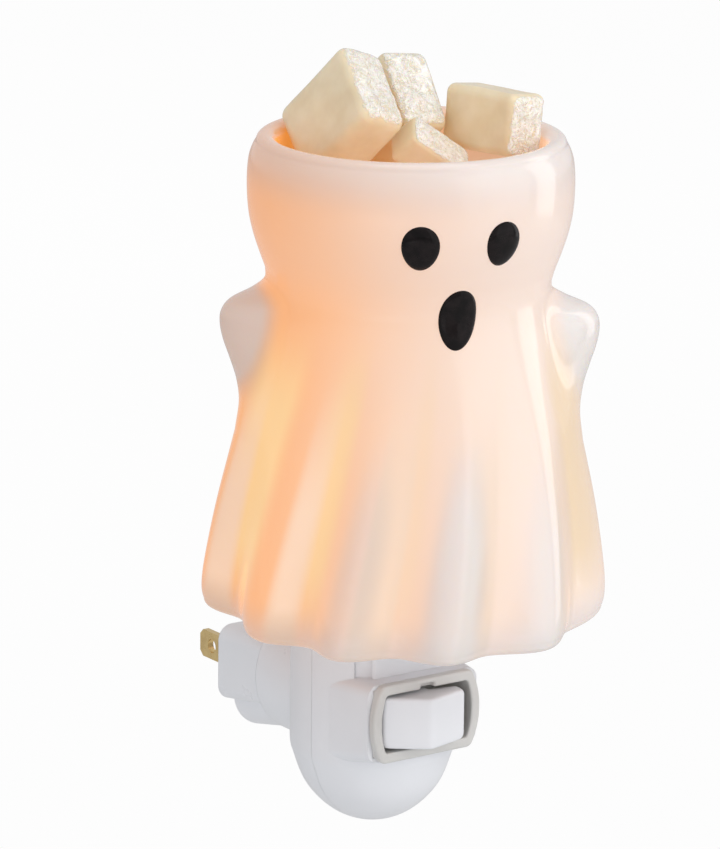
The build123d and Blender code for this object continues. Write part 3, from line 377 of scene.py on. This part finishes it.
def black_glaze(name):
    """Thick black glaze, faintly mottled."""
    material, tree, shader = new_material(name)
    mottle = surface_noise(tree, scale=420.0)
    colour = ramp(tree, mottle, (0.35, (0.003, 0.002, 0.002)), (0.75, (0.012, 0.008, 0.008)))
    link(tree, colour, shader.inputs["Base Color"])
    add_bump(tree, shader, mottle, strength=0.10, distance=0.4)
    set_inputs(
        shader,
        {"Roughness": 0.10, "Specular IOR Level": 0.12, "Coat Weight": 0.12, "Coat Roughness": 0.03},
    )
    return material


# The two directions in which the feathery crinkles of the wax are drawn out
CRINKLE_STRETCHES = [(1.0, 0.45, 1.0), (0.45, 1.0, 0.6)]


def crinkles(tree):
    """Thin crossed ridges, drawn where a stretched and distorted noise passes its middle."""
    place = tree.nodes.new("ShaderNodeTexCoord").outputs["Object"]
    strands = []
    for stretch in CRINKLE_STRETCHES:
        spread = node(tree, "ShaderNodeVectorMath", operation="MULTIPLY")
        spread.inputs[1].default_value = stretch
        link(tree, place, spread.inputs[0])
        feather = node(tree, "ShaderNodeTexNoise", Scale=620.0, Detail=3.0, Distortion=1.4)
        link(tree, spread.outputs[0], feather.inputs["Vector"])
        off = math_node(tree, "ABSOLUTE", math_node(tree, "SUBTRACT", feather.outputs["Fac"], 0.5))
        strands.append(scaled(tree, off, -9.0, 1.0, clamp=True))
    return math_node(tree, "MAXIMUM", *strands)


def wax_material(name):
    """Ivory wax, smooth and translucent on its cast faces, crinkled and shiny on its poured ones, whose
    crinkle ridges are paler wax with painted highlights; a faint painted glow stands in for the bulb's
    light from below.
    """
    material, tree, shader = new_material(name)
    mask, ridges = attribute(tree, "crackle"), crinkles(tree)
    cloud = surface_noise(tree, scale=110.0)
    plain = ramp(
        tree, cloud, (0.3, (0.70, 0.57, 0.37)), (0.55, (0.77, 0.66, 0.46)), (0.8, (0.83, 0.73, 0.54))
    )
    # paler poured wax, with painted highlights along the crinkle ridges
    pale = ramp(
        tree, ridges, (0.0, (0.80, 0.70, 0.54)), (0.45, (0.92, 0.86, 0.75)), (1.0, (0.99, 0.96, 0.90))
    )
    link(tree, mix_colour(tree, mask, plain, pale), shader.inputs["Base Color"])
    link(tree, scaled(tree, mask, -0.26, 0.42), shader.inputs["Roughness"])
    # painted glow standing in for the bulb's light from below, as strong as each point's held value
    # says
    link(tree, scaled(tree, attribute(tree, "wax_glow"), 0.06, 0.035), shader.inputs["Emission Strength"])
    relief = math_node(tree, "MULTIPLY", ridges, mask)
    skin = math_node(tree, "MULTIPLY_ADD", surface_noise(tree, scale=380.0), 0.18, relief)
    add_bump(tree, shader, skin, strength=0.8, distance=0.4)
    set_inputs(
        shader,
        {
            "Subsurface Weight": 0.35,
            "Subsurface Radius": (0.004, 0.0025, 0.0013),
            "Subsurface Scale": 1.0,
            "Coat Weight": 0.4,
            "Coat Roughness": 0.10,
            "Emission Color": (1.0, 0.60, 0.30, 1),
        },
    )
    return material


def glass_material(name):
    material, tree, shader = new_material(name)
    film = surface_noise(tree, scale=30.0)
    colour = ramp(tree, film, (0.3, (0.96, 0.95, 0.92)), (0.7, (1.0, 0.99, 0.97)))
    link(tree, colour, shader.inputs["Base Color"])
    link(tree, scaled(tree, film, 0.03, 0.01), shader.inputs["Roughness"])
    set_inputs(shader, {"Transmission Weight": 1.0, "IOR": 1.45})
    return material


def filament_material(name):
    material, tree, shader = new_material(name)
    hot = surface_noise(tree, scale=900.0)
    light = ramp(tree, hot, (0.3, (1.0, 0.45, 0.12)), (0.7, (1.0, 0.8, 0.45)))
    link(tree, light, shader.inputs["Emission Color"])
    colour = ramp(tree, hot, (0.3, (0.2, 0.2, 0.2)), (0.7, (0.4, 0.4, 0.4)))
    link(tree, colour, shader.inputs["Base Color"])
    set_inputs(shader, {"Emission Strength": 12.0})
    return material


PORCELAIN = porcelain("porcelain_glaze")
BLACK = black_glaze("black_glaze")
WAX = wax_material("ivory_wax")
WHITE = plastic("white_plastic", (0.80, 0.81, 0.84), (0.76, 0.77, 0.80), rough=0.30, coat=0.25)
GREY = plastic("grey_plastic", (0.66, 0.65, 0.63), (0.58, 0.57, 0.55), rough=0.34, coat=0.2)
DARK = plastic("dark_plastic", (0.03, 0.028, 0.026), (0.015, 0.014, 0.013), rough=0.45)
BLACK_WIRE = plastic("black_wire_cover", (0.02, 0.02, 0.02), (0.01, 0.01, 0.01), rough=0.5)
WHITE_WIRE = plastic("white_wire_cover", (0.75, 0.75, 0.75), (0.65, 0.65, 0.65), rough=0.5)
BRASS = metal("brass", (0.90, 0.68, 0.32), (0.70, 0.50, 0.22), rough=0.28)
STEEL = metal("steel", (0.70, 0.70, 0.72), (0.50, 0.50, 0.52), rough=0.30)
CAP = metal("cap_metal", (0.80, 0.80, 0.82), (0.62, 0.62, 0.64), rough=0.25)
GLASS = glass_material("bulb_glass")
HOT = filament_material("hot_filament")

# How the painted light varies over the shade. Each pair is where a change begins and where it ends:
# shares of the height, of a fold's reach, of an arm's reach, or of the turn towards the main light.
LIGHT_TURN = 35.0
GLOW_AT_HEM = 0.45
GLOW_CHANGES = [(0.50, (0.0, 0.10)), (-0.12, (0.66, 0.80)), (-0.45, (0.88, 0.99))]
FOLD_FADE = (0.0, 0.75)
RIDGE_FOLD = (0.15, 0.85)
RIDGE_FACING = (0.35, 0.85)
RIDGE_LEAST = 0.3
RIDGE_LOSS = 0.72
ARM_EDGE = (0.03, 0.4)
ARM_LOSS = 0.78
BRIGHT_SIDE = (0.3, 1.0)
BRIGHT_SIDE_LOSS = 0.30
VALLEY_FOLD = (-0.25, 0.45)
VALLEY_START = (0.02, 0.2)
VALLEY_END = (0.45, 0.66)
VALLEY_MOST = 0.85
FLANK_STEP = 2.0
FLANK_SLOPE = (0.02, 0.25)
FLANK_FADE = (0.05, 0.6)


def left_to_right(azimuth):
    """0 on the side that looks away from the main light, 1 on the side that faces it."""
    return 0.5 + 0.5 * np.cos(np.radians(azimuth - LIGHT_TURN))


def shade_glow(azimuth, up):
    """How much painted glow the wall shows for the bulb's light through it: less in the hem, the rim,
    the arms and the ridges, and less on the side facing the main light.
    """
    height = GLOW_AT_HEM
    for change, between in GLOW_CHANGES:
        height = height + change * step(up, *between)
    fold = folds_at(azimuth, up) * step(1 - fold_share(up), *FOLD_FADE)
    facing = left_to_right(azimuth)
    ridge_share = RIDGE_LEAST + (1 - RIDGE_LEAST) * step(facing, *RIDGE_FACING)
    ridge = step(fold, *RIDGE_FOLD) * ridge_share
    arm = step(arms(azimuth, up), *ARM_EDGE)
    through = height * (1 - RIDGE_LOSS * ridge) * (1 - ARM_LOSS * arm)
    return through * (1 - BRIGHT_SIDE_LOSS * step(facing, *BRIGHT_SIDE))


def shade_valley(azimuth, up):
    """Where the wall comes nearest to the bulb: the skirt's valleys, in the middle of its height, given
    a yellower painted glow.
    """
    low = step(-folds_at(azimuth, up), *VALLEY_FOLD)
    return VALLEY_MOST * low * step(up, *VALLEY_START) * (1 - step(up, *VALLEY_END))


def shade_lit(azimuth, up):
    """The flank of each fold that turns towards the main light, painted paler than the other one."""
    slope = folds_at(azimuth - FLANK_STEP, up) - folds_at(azimuth + FLANK_STEP, up)
    return step(slope, *FLANK_SLOPE) * step(1 - fold_share(up), *FLANK_FADE)


# The glazed shade: what only its mesh needs, in millimetres and counts. An ease is out and along.
COLUMNS = 480
MIDDLE_RADIUS = 0.01
ROOF_RING = 20.0
ROOF_CORNER = 3.0
ROOF_CORNER_ROWS = 5
INSIDE_DROP = 5.0
INSIDE_ROWS = 40
HOLE_TOP_EASE = (0.6, 0.5)
HOLE_FOOT_EASE = (0.5, 0.4)
RECESS_EASE = (1.2, 1.0)
HEM_ROWS = 17
RIM_START = 0.985
OUTSIDE_ROWS = 250
RIM_ROWS = 9
RIM_FIRST = 0.1
# the painted glow in the rim's lip, rising across it, and in the dish's wall and floor
LIP_GLOW = 0.35
LIP_GLOW_RISE = 0.3
DISH_WALL_ROWS = 6
DISH_WALL_GLOW = 0.6
DISH_CORNER_ROWS = 12
DISH_FLOOR_RINGS = [16.0, 8.0, MIDDLE_RADIUS]
DISH_FLOOR_GLOW = 0.5


def shade_rows():
    """The rings of points from the roof inside, round the hem and up the outside, into the dish, each
    with its painted glow.
    """
    azimuth = np.arange(COLUMNS) * 360.0 / COLUMNS
    a = np.radians(azimuth)
    rows, glows = [], []

    def add(radius, z, glow=None):
        z = z + 0 * a
        rows.append(np.stack([radius * np.sin(a), SHADE_Y - radius * np.cos(a), z], -1) * MM)
        own = shade_glow(azimuth, (z - HEM_Z) / SHADE_HEIGHT) if glow is None else glow + 0 * a
        glows.append(own)

    def outer(up):
        return shade_radius(azimuth, up + 0 * azimuth)

    # inside, from the roof's middle down to the hem
    add(MIDDLE_RADIUS, ROOF_Z)
    add(ROOF_RING, ROOF_Z)
    for _, across, along in quarter(ROOF_CORNER_ROWS):
        up = (ROOF_Z - HEM_Z - ROOF_CORNER * across) / SHADE_HEIGHT
        add(outer(up) - SHADE_WALL - ROOF_CORNER * (1 - along), HEM_Z + up * SHADE_HEIGHT)
    for z in np.linspace(ROOF_Z - INSIDE_DROP, FLOOR_TOP_Z, INSIDE_ROWS):
        add(outer((z - HEM_Z) / SHADE_HEIGHT) - SHADE_WALL, z)
    add(HOLE_RADIUS + HOLE_TOP_EASE[0], FLOOR_TOP_Z)
    add(HOLE_RADIUS, FLOOR_TOP_Z - HOLE_TOP_EASE[1])
    add(HOLE_RADIUS, SEAT_Z + HOLE_FOOT_EASE[1])
    add(HOLE_RADIUS + HOLE_FOOT_EASE[0], SEAT_Z)
    recess = outer((SEAT_Z - HEM_Z) / SHADE_HEIGHT) - SHADE_WALL
    add(recess - RECESS_EASE[0], SEAT_Z)
    add(recess, SEAT_Z - RECESS_EASE[1])

    # the hem, rolled under
    roll = SHADE_WALL / 2
    foot = roll / SHADE_HEIGHT
    for angle in np.radians(np.linspace(180.0, 360.0, HEM_ROWS)):
        add(outer(foot) - roll + roll * math.cos(angle), HEM_Z + roll + roll * math.sin(angle))

    # the outside
    for up in np.linspace(foot, RIM_START, OUTSIDE_ROWS)[1:]:
        add(outer(up), HEM_Z + up * SHADE_HEIGHT)

    # over the rim and into the dish
    edge = float(shade_radius(0.0, RIM_START))
    rim_low = HEM_Z + RIM_START * SHADE_HEIGHT
    for _, across, along in quarter(RIM_ROWS, RIM_FIRST):
        add(edge - (edge - CREST_RADIUS) * across, rim_low + (RIM_Z - rim_low) * along)
    for share, across, along in quarter(RIM_ROWS, RIM_FIRST):
        radius = CREST_RADIUS - (CREST_RADIUS - DISH_RADIUS) * along
        add(radius, RIM_Z - DISH_LIP * across, LIP_GLOW + LIP_GLOW_RISE * share)
    for z in np.linspace(RIM_Z - DISH_LIP, DISH_FLOOR_Z + DISH_CORNER, DISH_WALL_ROWS)[1:]:
        add(DISH_RADIUS, z, DISH_WALL_GLOW)
    for _, across, along in list(quarter(DISH_CORNER_ROWS))[1:]:
        height = DISH_FLOOR_Z + DISH_CORNER * (1 - along)
        add(DISH_RADIUS - DISH_CORNER * across, height, DISH_FLOOR_GLOW)
    for radius in DISH_FLOOR_RINGS:
        add(radius, DISH_FLOOR_Z, DISH_FLOOR_GLOW)
    return rows, glows, azimuth


def make_shade():
    rows, glows, azimuth = shade_rows()
    points = np.concatenate(rows)
    obj = mesh_object("shade_glazed", points, ring_faces(len(rows), COLUMNS), PORCELAIN)
    up = (points[:, 2] / MM - HEM_Z) / SHADE_HEIGHT
    turns = np.tile(azimuth, len(rows))
    # the painted light that the material reads: glow, the side towards the main light, the valleys and
    # the lit flanks
    point_values(obj, "glow", np.concatenate(glows))
    point_values(obj, "side", left_to_right(turns))
    point_values(obj, "valley", shade_valley(turns, up))
    point_values(obj, "lit", shade_lit(turns, up))
    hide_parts("ghost_shade")
    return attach(obj, "shade")


# The eyes and the mouth: turn from the face's middle, drop from the rim, width, height, how proud, lean
SPOTS = {
    "eye_glaze_left": ("left_eye", -15.9, 17.6, 8.2, 9.8, 1.1, 0.0),
    "eye_glaze_right": ("right_eye", 14.8, 17.6, 8.2, 9.8, 1.1, -7.0),
    "mouth_glaze": ("mouth", 0.0, 34.0, 8.4, 13.2, 1.3, -6.0),
}
SPOT_RINGS = 14
SPOT_SPOKES = 64
SPOT_EGG = 0.16
SPOT_DOME_POWERS = (2.6, 0.55)
SPOT_SINK = 0.15


def make_spot(name, node_name, turn, drop, width, tall, proud, lean):
    """A domed spot of black glaze that follows the shade's own curve."""
    middle = FACE_TURN + turn
    up_middle = 1 - drop / SHADE_HEIGHT
    radius = float(shade_radius(middle, up_middle))
    cos_lean, sin_lean = math.cos(math.radians(lean)), math.sin(math.radians(lean))
    inner, outer = SPOT_DOME_POWERS
    points = []
    for i in range(SPOT_RINGS + 1):
        rho = math.sin(math.pi / 2 * i / SPOT_RINGS)
        lift = proud * (max(0.0, 1 - rho**inner)) ** outer - SPOT_SINK
        for j in range(SPOT_SPOKES):
            a = 2 * math.pi * j / SPOT_SPOKES
            u, v = rho * math.cos(a) * width / 2, rho * math.sin(a) * tall / 2
            u *= 1.0 + SPOT_EGG * v / tall
            u, v = u * cos_lean - v * sin_lean, u * sin_lean + v * cos_lean
            azimuth = middle + math.degrees(u / radius)
            points.append(shade_point(np.array(azimuth), np.array(up_middle + v / SHADE_HEIGHT), lift))
    obj = mesh_object(name, points, ring_faces(SPOT_RINGS + 1, SPOT_SPOKES), BLACK)
    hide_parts(node_name)
    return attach(obj, "shade")


# The wax: each piece's middle in the dish, its turns about X, Y and Z, and its shares of the block
MELTS = {
    "wax_melt_left": ((-0.381, 0.364, 1.173), (4.0, -70.0, 55.0), (1.0, 1.0, 1.0)),
    "wax_melt_back": ((0.227, 0.500, 1.106), (-50.9, -80.3, -4.1), (0.94, 0.798, 1.0)),
    "wax_melt_right": ((0.655, -0.136, 1.117), (-124.2, 77.3, 123.5), (0.642, 0.864, 0.933)),
    "wax_melt_front": ((0.093, -0.107, 0.674), (-55.4, 28.3, 23.8), (0.757, 0.37, 0.717)),
}
MELT_BLOCK = (21.8, 24.3, 12.0)
MELT_GRID = 34
MELT_BUNCHING = 0.75
MELT_EDGE = 2.9
MELT_EDGE_POWER = 0.6
ON_FLAT = 1e-9
POURED_SIDE = np.array((0.0, -1.0, 0.0))
POURED_FROM = 0.62
POURED_FADE = 0.12
POURED_RAGGED = 0.2
POURED_GRAIN = 1.5
DENT_GRAIN = 9.0
DENT_DEPTH = 0.22
DENT_SINK = 0.16
DENT_SEED_STEP = 3.1
CRINKLE_GRAIN = 1.6
CRINKLE_DEPTH = 0.18
CRINKLE_SEED_STEP = 2.0
# The painted glow in the wax, for the bulb's light from below: more low in the dish and in the middle
# of each piece, less on the poured faces
WAX_GLOW_LOW_Z = RIM_Z - 4.0
WAX_GLOW_HIGH_Z = RIM_Z + 11.0
WAX_GLOW_LOW = 0.7
WAX_GLOW_MIDDLE_BAND = (0.1, 0.9)
WAX_GLOW_MIDDLE = 0.45
POURED_GLOW_LOSS = 0.7


def cube_grid(n):
    """A cube's points from -1 to 1, with n squares along each edge, and the squares between them."""
    index, points, faces = {}, [], []

    def corner(key):
        if key not in index:
            index[key] = len(points)
            points.append(np.array(key, float) / n * 2 - 1)
        return index[key]

    for axis in range(3):
        for side in (0, n):
            for i in range(n):
                for j in range(n):
                    keys = []
                    for di, dj in ((0, 0), (1, 0), (1, 1), (0, 1)):
                        key = [0, 0, 0]
                        key[axis] = side
                        key[(axis + 1) % 3] = i + di
                        key[(axis + 2) % 3] = j + dj
                        keys.append(corner(tuple(key)))
                    faces.append(keys if side else keys[::-1])
    return points, faces


def wax_point(p, half, edge, seed):
    """A cube's point laid on a block with rounded edges and dents, and how far it is poured wax."""
    p = np.sign(p) * np.abs(p) ** MELT_BUNCHING
    q = p * half
    core = np.clip(q, -(half - edge), half - edge)
    away = q - core
    length = np.linalg.norm(away)
    if length > ON_FLAT:
        normal = away / length
        q = core + normal * edge
    else:
        normal = p / np.linalg.norm(p)
    facing = float(np.dot(normal, POURED_SIDE))
    ragged = POURED_RAGGED * noise.noise(Vector(q / POURED_GRAIN))
    poured = max(0.0, min(1.0, (facing - POURED_FROM + ragged) / POURED_FADE))
    where = Vector(q / DENT_GRAIN) + Vector((seed * DENT_SEED_STEP, seed, 0))
    dent = noise.noise(where) * DENT_DEPTH - DENT_SINK
    where = Vector(q / CRINKLE_GRAIN) + Vector((seed, 0, seed * CRINKLE_SEED_STEP))
    dent += poured * noise.noise(where) * CRINKLE_DEPTH
    return (q + normal * dent) * MM, poured


def make_melt(name, place, turn, shares, seed):
    """A cast wax piece: a softened block, dented by hand, with one poured face."""
    half = np.array([size * share / 2 for size, share in zip(MELT_BLOCK, shares)])
    edge = MELT_EDGE * min(shares) ** MELT_EDGE_POWER
    grid, faces = cube_grid(MELT_GRID)
    shaped, poured = zip(*[wax_point(p, half, edge, seed) for p in grid])
    obj = mesh_object(name.replace("melt", "piece"), shaped, faces, WAX)
    x = place[0] * DISH_RADIUS
    y = SHADE_Y + place[1] * DISH_RADIUS
    z = DISH_FLOOR_Z + place[2] * DISH_DEPTH
    rotation = Matrix.Identity(4)
    for angle, axis in zip(turn, "XYZ"):
        rotation = rotation @ Matrix.Rotation(math.radians(angle), 4, axis)
    obj.matrix_world = Matrix.Translation(Vector((x, y, z)) * MM) @ rotation
    heights = np.array([(obj.matrix_world @ Vector(v)).z for v in shaped]) / MM
    outward = np.max(np.abs(np.array(shaped)[:, :2] / MM) / half[:2], axis=1)
    # painted glow: more low down and in each piece's middle, less on the poured faces
    wax_glow = (1 - step(heights, WAX_GLOW_LOW_Z, WAX_GLOW_HIGH_Z)) * WAX_GLOW_LOW
    wax_glow = wax_glow + (1 - step(outward, *WAX_GLOW_MIDDLE_BAND)) * WAX_GLOW_MIDDLE
    point_values(obj, "crackle", poured)
    point_values(obj, "wax_glow", wax_glow * (1 - POURED_GLOW_LOSS * np.array(poured)))
    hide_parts(name)
    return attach(obj, "wax")


def softened(node_name, name, material, body, voxel, rounds):
    """A moulded piece's own solid with its edges rounded, by a fine remesh and a smooth."""
    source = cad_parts[node_name]
    obj = bpy.data.objects.new(name, source.data.copy())
    obj.data.name = name
    bpy.context.collection.objects.link(obj)
    obj.data.transform(source.matrix_world)
    remesh = obj.modifiers.new("remesh", "REMESH")
    remesh.mode = "VOXEL"
    remesh.voxel_size = voxel * MM
    relax = obj.modifiers.new("relax", "SMOOTH")
    relax.factor = 0.5
    relax.iterations = rounds
    bpy.context.view_layer.update()
    shaped = obj.evaluated_get(bpy.context.evaluated_depsgraph_get())
    mesh = bpy.data.meshes.new_from_object(shaped)
    obj.modifiers.clear()
    obj.data = mesh
    mesh.polygons.foreach_set("use_smooth", [True] * len(mesh.polygons))
    mesh.materials.clear()
    mesh.materials.append(material)
    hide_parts(node_name)
    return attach(obj, body)


# The pieces of the scene
make_shade()
for spot, facts in SPOTS.items():
    make_spot(spot, *facts)
for number, (melt, facts) in enumerate(MELTS.items()):
    make_melt(melt, *facts, seed=number + 1)
softened("rocker", "rocker_cap", WHITE, "rocker", voxel=0.25, rounds=45)
softened("switch_frame", "switch_bezel", GREY, "base", voxel=0.22, rounds=7)

# The solids that show as they are
CAD_LOOKS = {
    "plug_body": WHITE,
    "rear_shell": WHITE,
    "front_shell": WHITE,
    "shade_seat": WHITE,
    "socket_body": DARK,
    "bulb_insulator": DARK,
    "live_blade": BRASS,
    "neutral_blade": BRASS,
    "moving_contact": BRASS,
    "fixed_contact": BRASS,
    "common_contact": BRASS,
    "socket_shell": BRASS,
    "socket_centre_contact": BRASS,
    "swivel_retainer": STEEL,
    "housing_screws": STEEL,
    "rocker_pin": STEEL,
    "bulb_tip": CAP,
    "bulb_cap": CAP,
    "bulb_glass": GLASS,
    "bulb_stem": GLASS,
    "bulb_filament": HOT,
    "live_plug_lead": BLACK_WIRE,
    "live_lead": BLACK_WIRE,
    "switched_lead": BLACK_WIRE,
    "neutral_plug_lead": WHITE_WIRE,
    "neutral_lead": WHITE_WIRE,
}
for name, material in CAD_LOOKS.items():
    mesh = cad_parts[name].data
    mesh.materials.clear()
    mesh.materials.append(material)

# Stage, in metres
STAGE_HALF = 3.0
STAGE_Z = -0.16
STAGE_CORNERS = [(-1, -1), (1, -1), (1, 1), (-1, 1)]


def stage_material(name):
    """White to the camera, and a plain pale floor to the object."""
    material, tree, shader = new_material(name)
    tree.nodes.remove(shader)
    white = node(tree, "ShaderNodeEmission", Strength=1.0)
    cloud = surface_noise(tree, scale=1.0)
    link(tree, ramp(tree, cloud, (0.0, (0.97, 0.97, 0.97)), (1.0, (1, 1, 1))), white.inputs["Color"])
    pale = node(tree, "ShaderNodeBsdfDiffuse", Color=(0.7, 0.7, 0.7, 1))
    surface = tree.nodes["Material Output"].inputs["Surface"]
    camera_or_light(tree, white.outputs[0], pale.outputs[0], surface)
    return material


def make_floor():
    corners = [(x * STAGE_HALF, y * STAGE_HALF, STAGE_Z) for x, y in STAGE_CORNERS]
    mesh_object("floor", corners, [(0, 1, 2, 3)], stage_material("stage_white"), smooth=False)


def make_world():
    """A white surround that lights the object less than it shows."""
    world = bpy.data.worlds.new("studio")
    bpy.context.scene.world = world
    world.use_nodes = True
    sky = world.node_tree
    seen = sky.nodes["Background"]
    seen.inputs["Color"].default_value = (1, 1, 1, 1)
    unseen = node(sky, "ShaderNodeBackground", Color=(0.97, 0.98, 1.0, 1), Strength=0.62)
    surface = sky.nodes["World Output"].inputs["Surface"]
    camera_or_light(sky, seen.outputs[0], unseen.outputs[0], surface)


# Lights, in metres and watts
LIGHT_AIM = Vector((0.0, -0.055, 0.07))


def area(name, place, size, power, colour=(1, 1, 1), diffuse=True, glossy=True):
    """A soft rectangle of light that looks at the shade, hidden from gloss or from the rest."""
    data = bpy.data.lights.new(name, "AREA")
    data.shape = "RECTANGLE"
    data.size, data.size_y = size
    data.energy = power
    data.color = colour
    obj = bpy.data.objects.new(name, data)
    bpy.context.collection.objects.link(obj)
    obj.location = place
    obj.rotation_euler = (LIGHT_AIM - Vector(place)).to_track_quat("-Z", "Y").to_euler()
    obj.visible_diffuse = diffuse
    obj.visible_glossy = glossy


make_floor()
make_world()
area("fill_left", (-1.0, -0.75, -0.05), (0.7, 0.9), 5.0, (0.99, 0.99, 1.0), glossy=False)
area("key_right", (0.35, -1.05, 0.60), (0.6, 1.0), 5.8, glossy=False)
area("gloss_right", (0.50, -1.05, 0.30), (1.2, 1.3), 2.4, diffuse=False)
area("side_right", (0.95, -0.35, 0.25), (0.4, 0.9), 1.4)
area("top", (0.0, -0.2, 1.0), (0.8, 0.8), 1.8)

# Camera: its direction in degrees, its distance from the anchor point, and where that point shows
CAMERA_AZIMUTH = -35.0
CAMERA_ELEVATION = 14.5
CAMERA_ROLL = 0.6
CAMERA_DISTANCE = 1.143
ANCHOR = Vector((0.0, -0.0633, -0.0002))
PICTURE_PIXELS = (720.0, 849.0)
ANCHOR_PIXEL = (427.5, 718.0)
PIXELS_PER_MM = 4.58
SENSOR = 36.0
CLIP_START = 0.05


def make_camera():
    """The photograph's own view, a perspective through one anchor point."""
    azimuth, elevation = math.radians(CAMERA_AZIMUTH), math.radians(CAMERA_ELEVATION)
    cos_roll, sin_roll = math.cos(math.radians(CAMERA_ROLL)), math.sin(math.radians(CAMERA_ROLL))
    level = math.cos(elevation)
    back = Vector((math.sin(azimuth) * level, -math.cos(azimuth) * level, math.sin(elevation)))
    right = Vector((math.cos(azimuth), math.sin(azimuth), 0.0))
    up = back.cross(right)
    right, up = right * cos_roll + up * sin_roll, up * cos_roll - right * sin_roll
    focal_pixels = PIXELS_PER_MM * CAMERA_DISTANCE / MM
    across = (ANCHOR_PIXEL[0] - PICTURE_PIXELS[0] / 2) / focal_pixels
    down = (ANCHOR_PIXEL[1] - PICTURE_PIXELS[1] / 2) / focal_pixels
    eye = ANCHOR + (back - right * across + up * down) * CAMERA_DISTANCE
    data = bpy.data.cameras.new("camera")
    data.sensor_width = SENSOR
    data.lens = focal_pixels * SENSOR / PICTURE_PIXELS[1]
    data.clip_start = CLIP_START
    camera = bpy.data.objects.new("camera", data)
    bpy.context.collection.objects.link(camera)
    camera.matrix_world = Matrix(
        [
            (right.x, up.x, back.x, eye.x),
            (right.y, up.y, back.y, eye.y),
            (right.z, up.z, back.z, eye.z),
            (0, 0, 0, 1),
        ]
    )
    return camera


scene = bpy.context.scene
scene.camera = make_camera()
scene.view_settings.view_transform = "Standard"
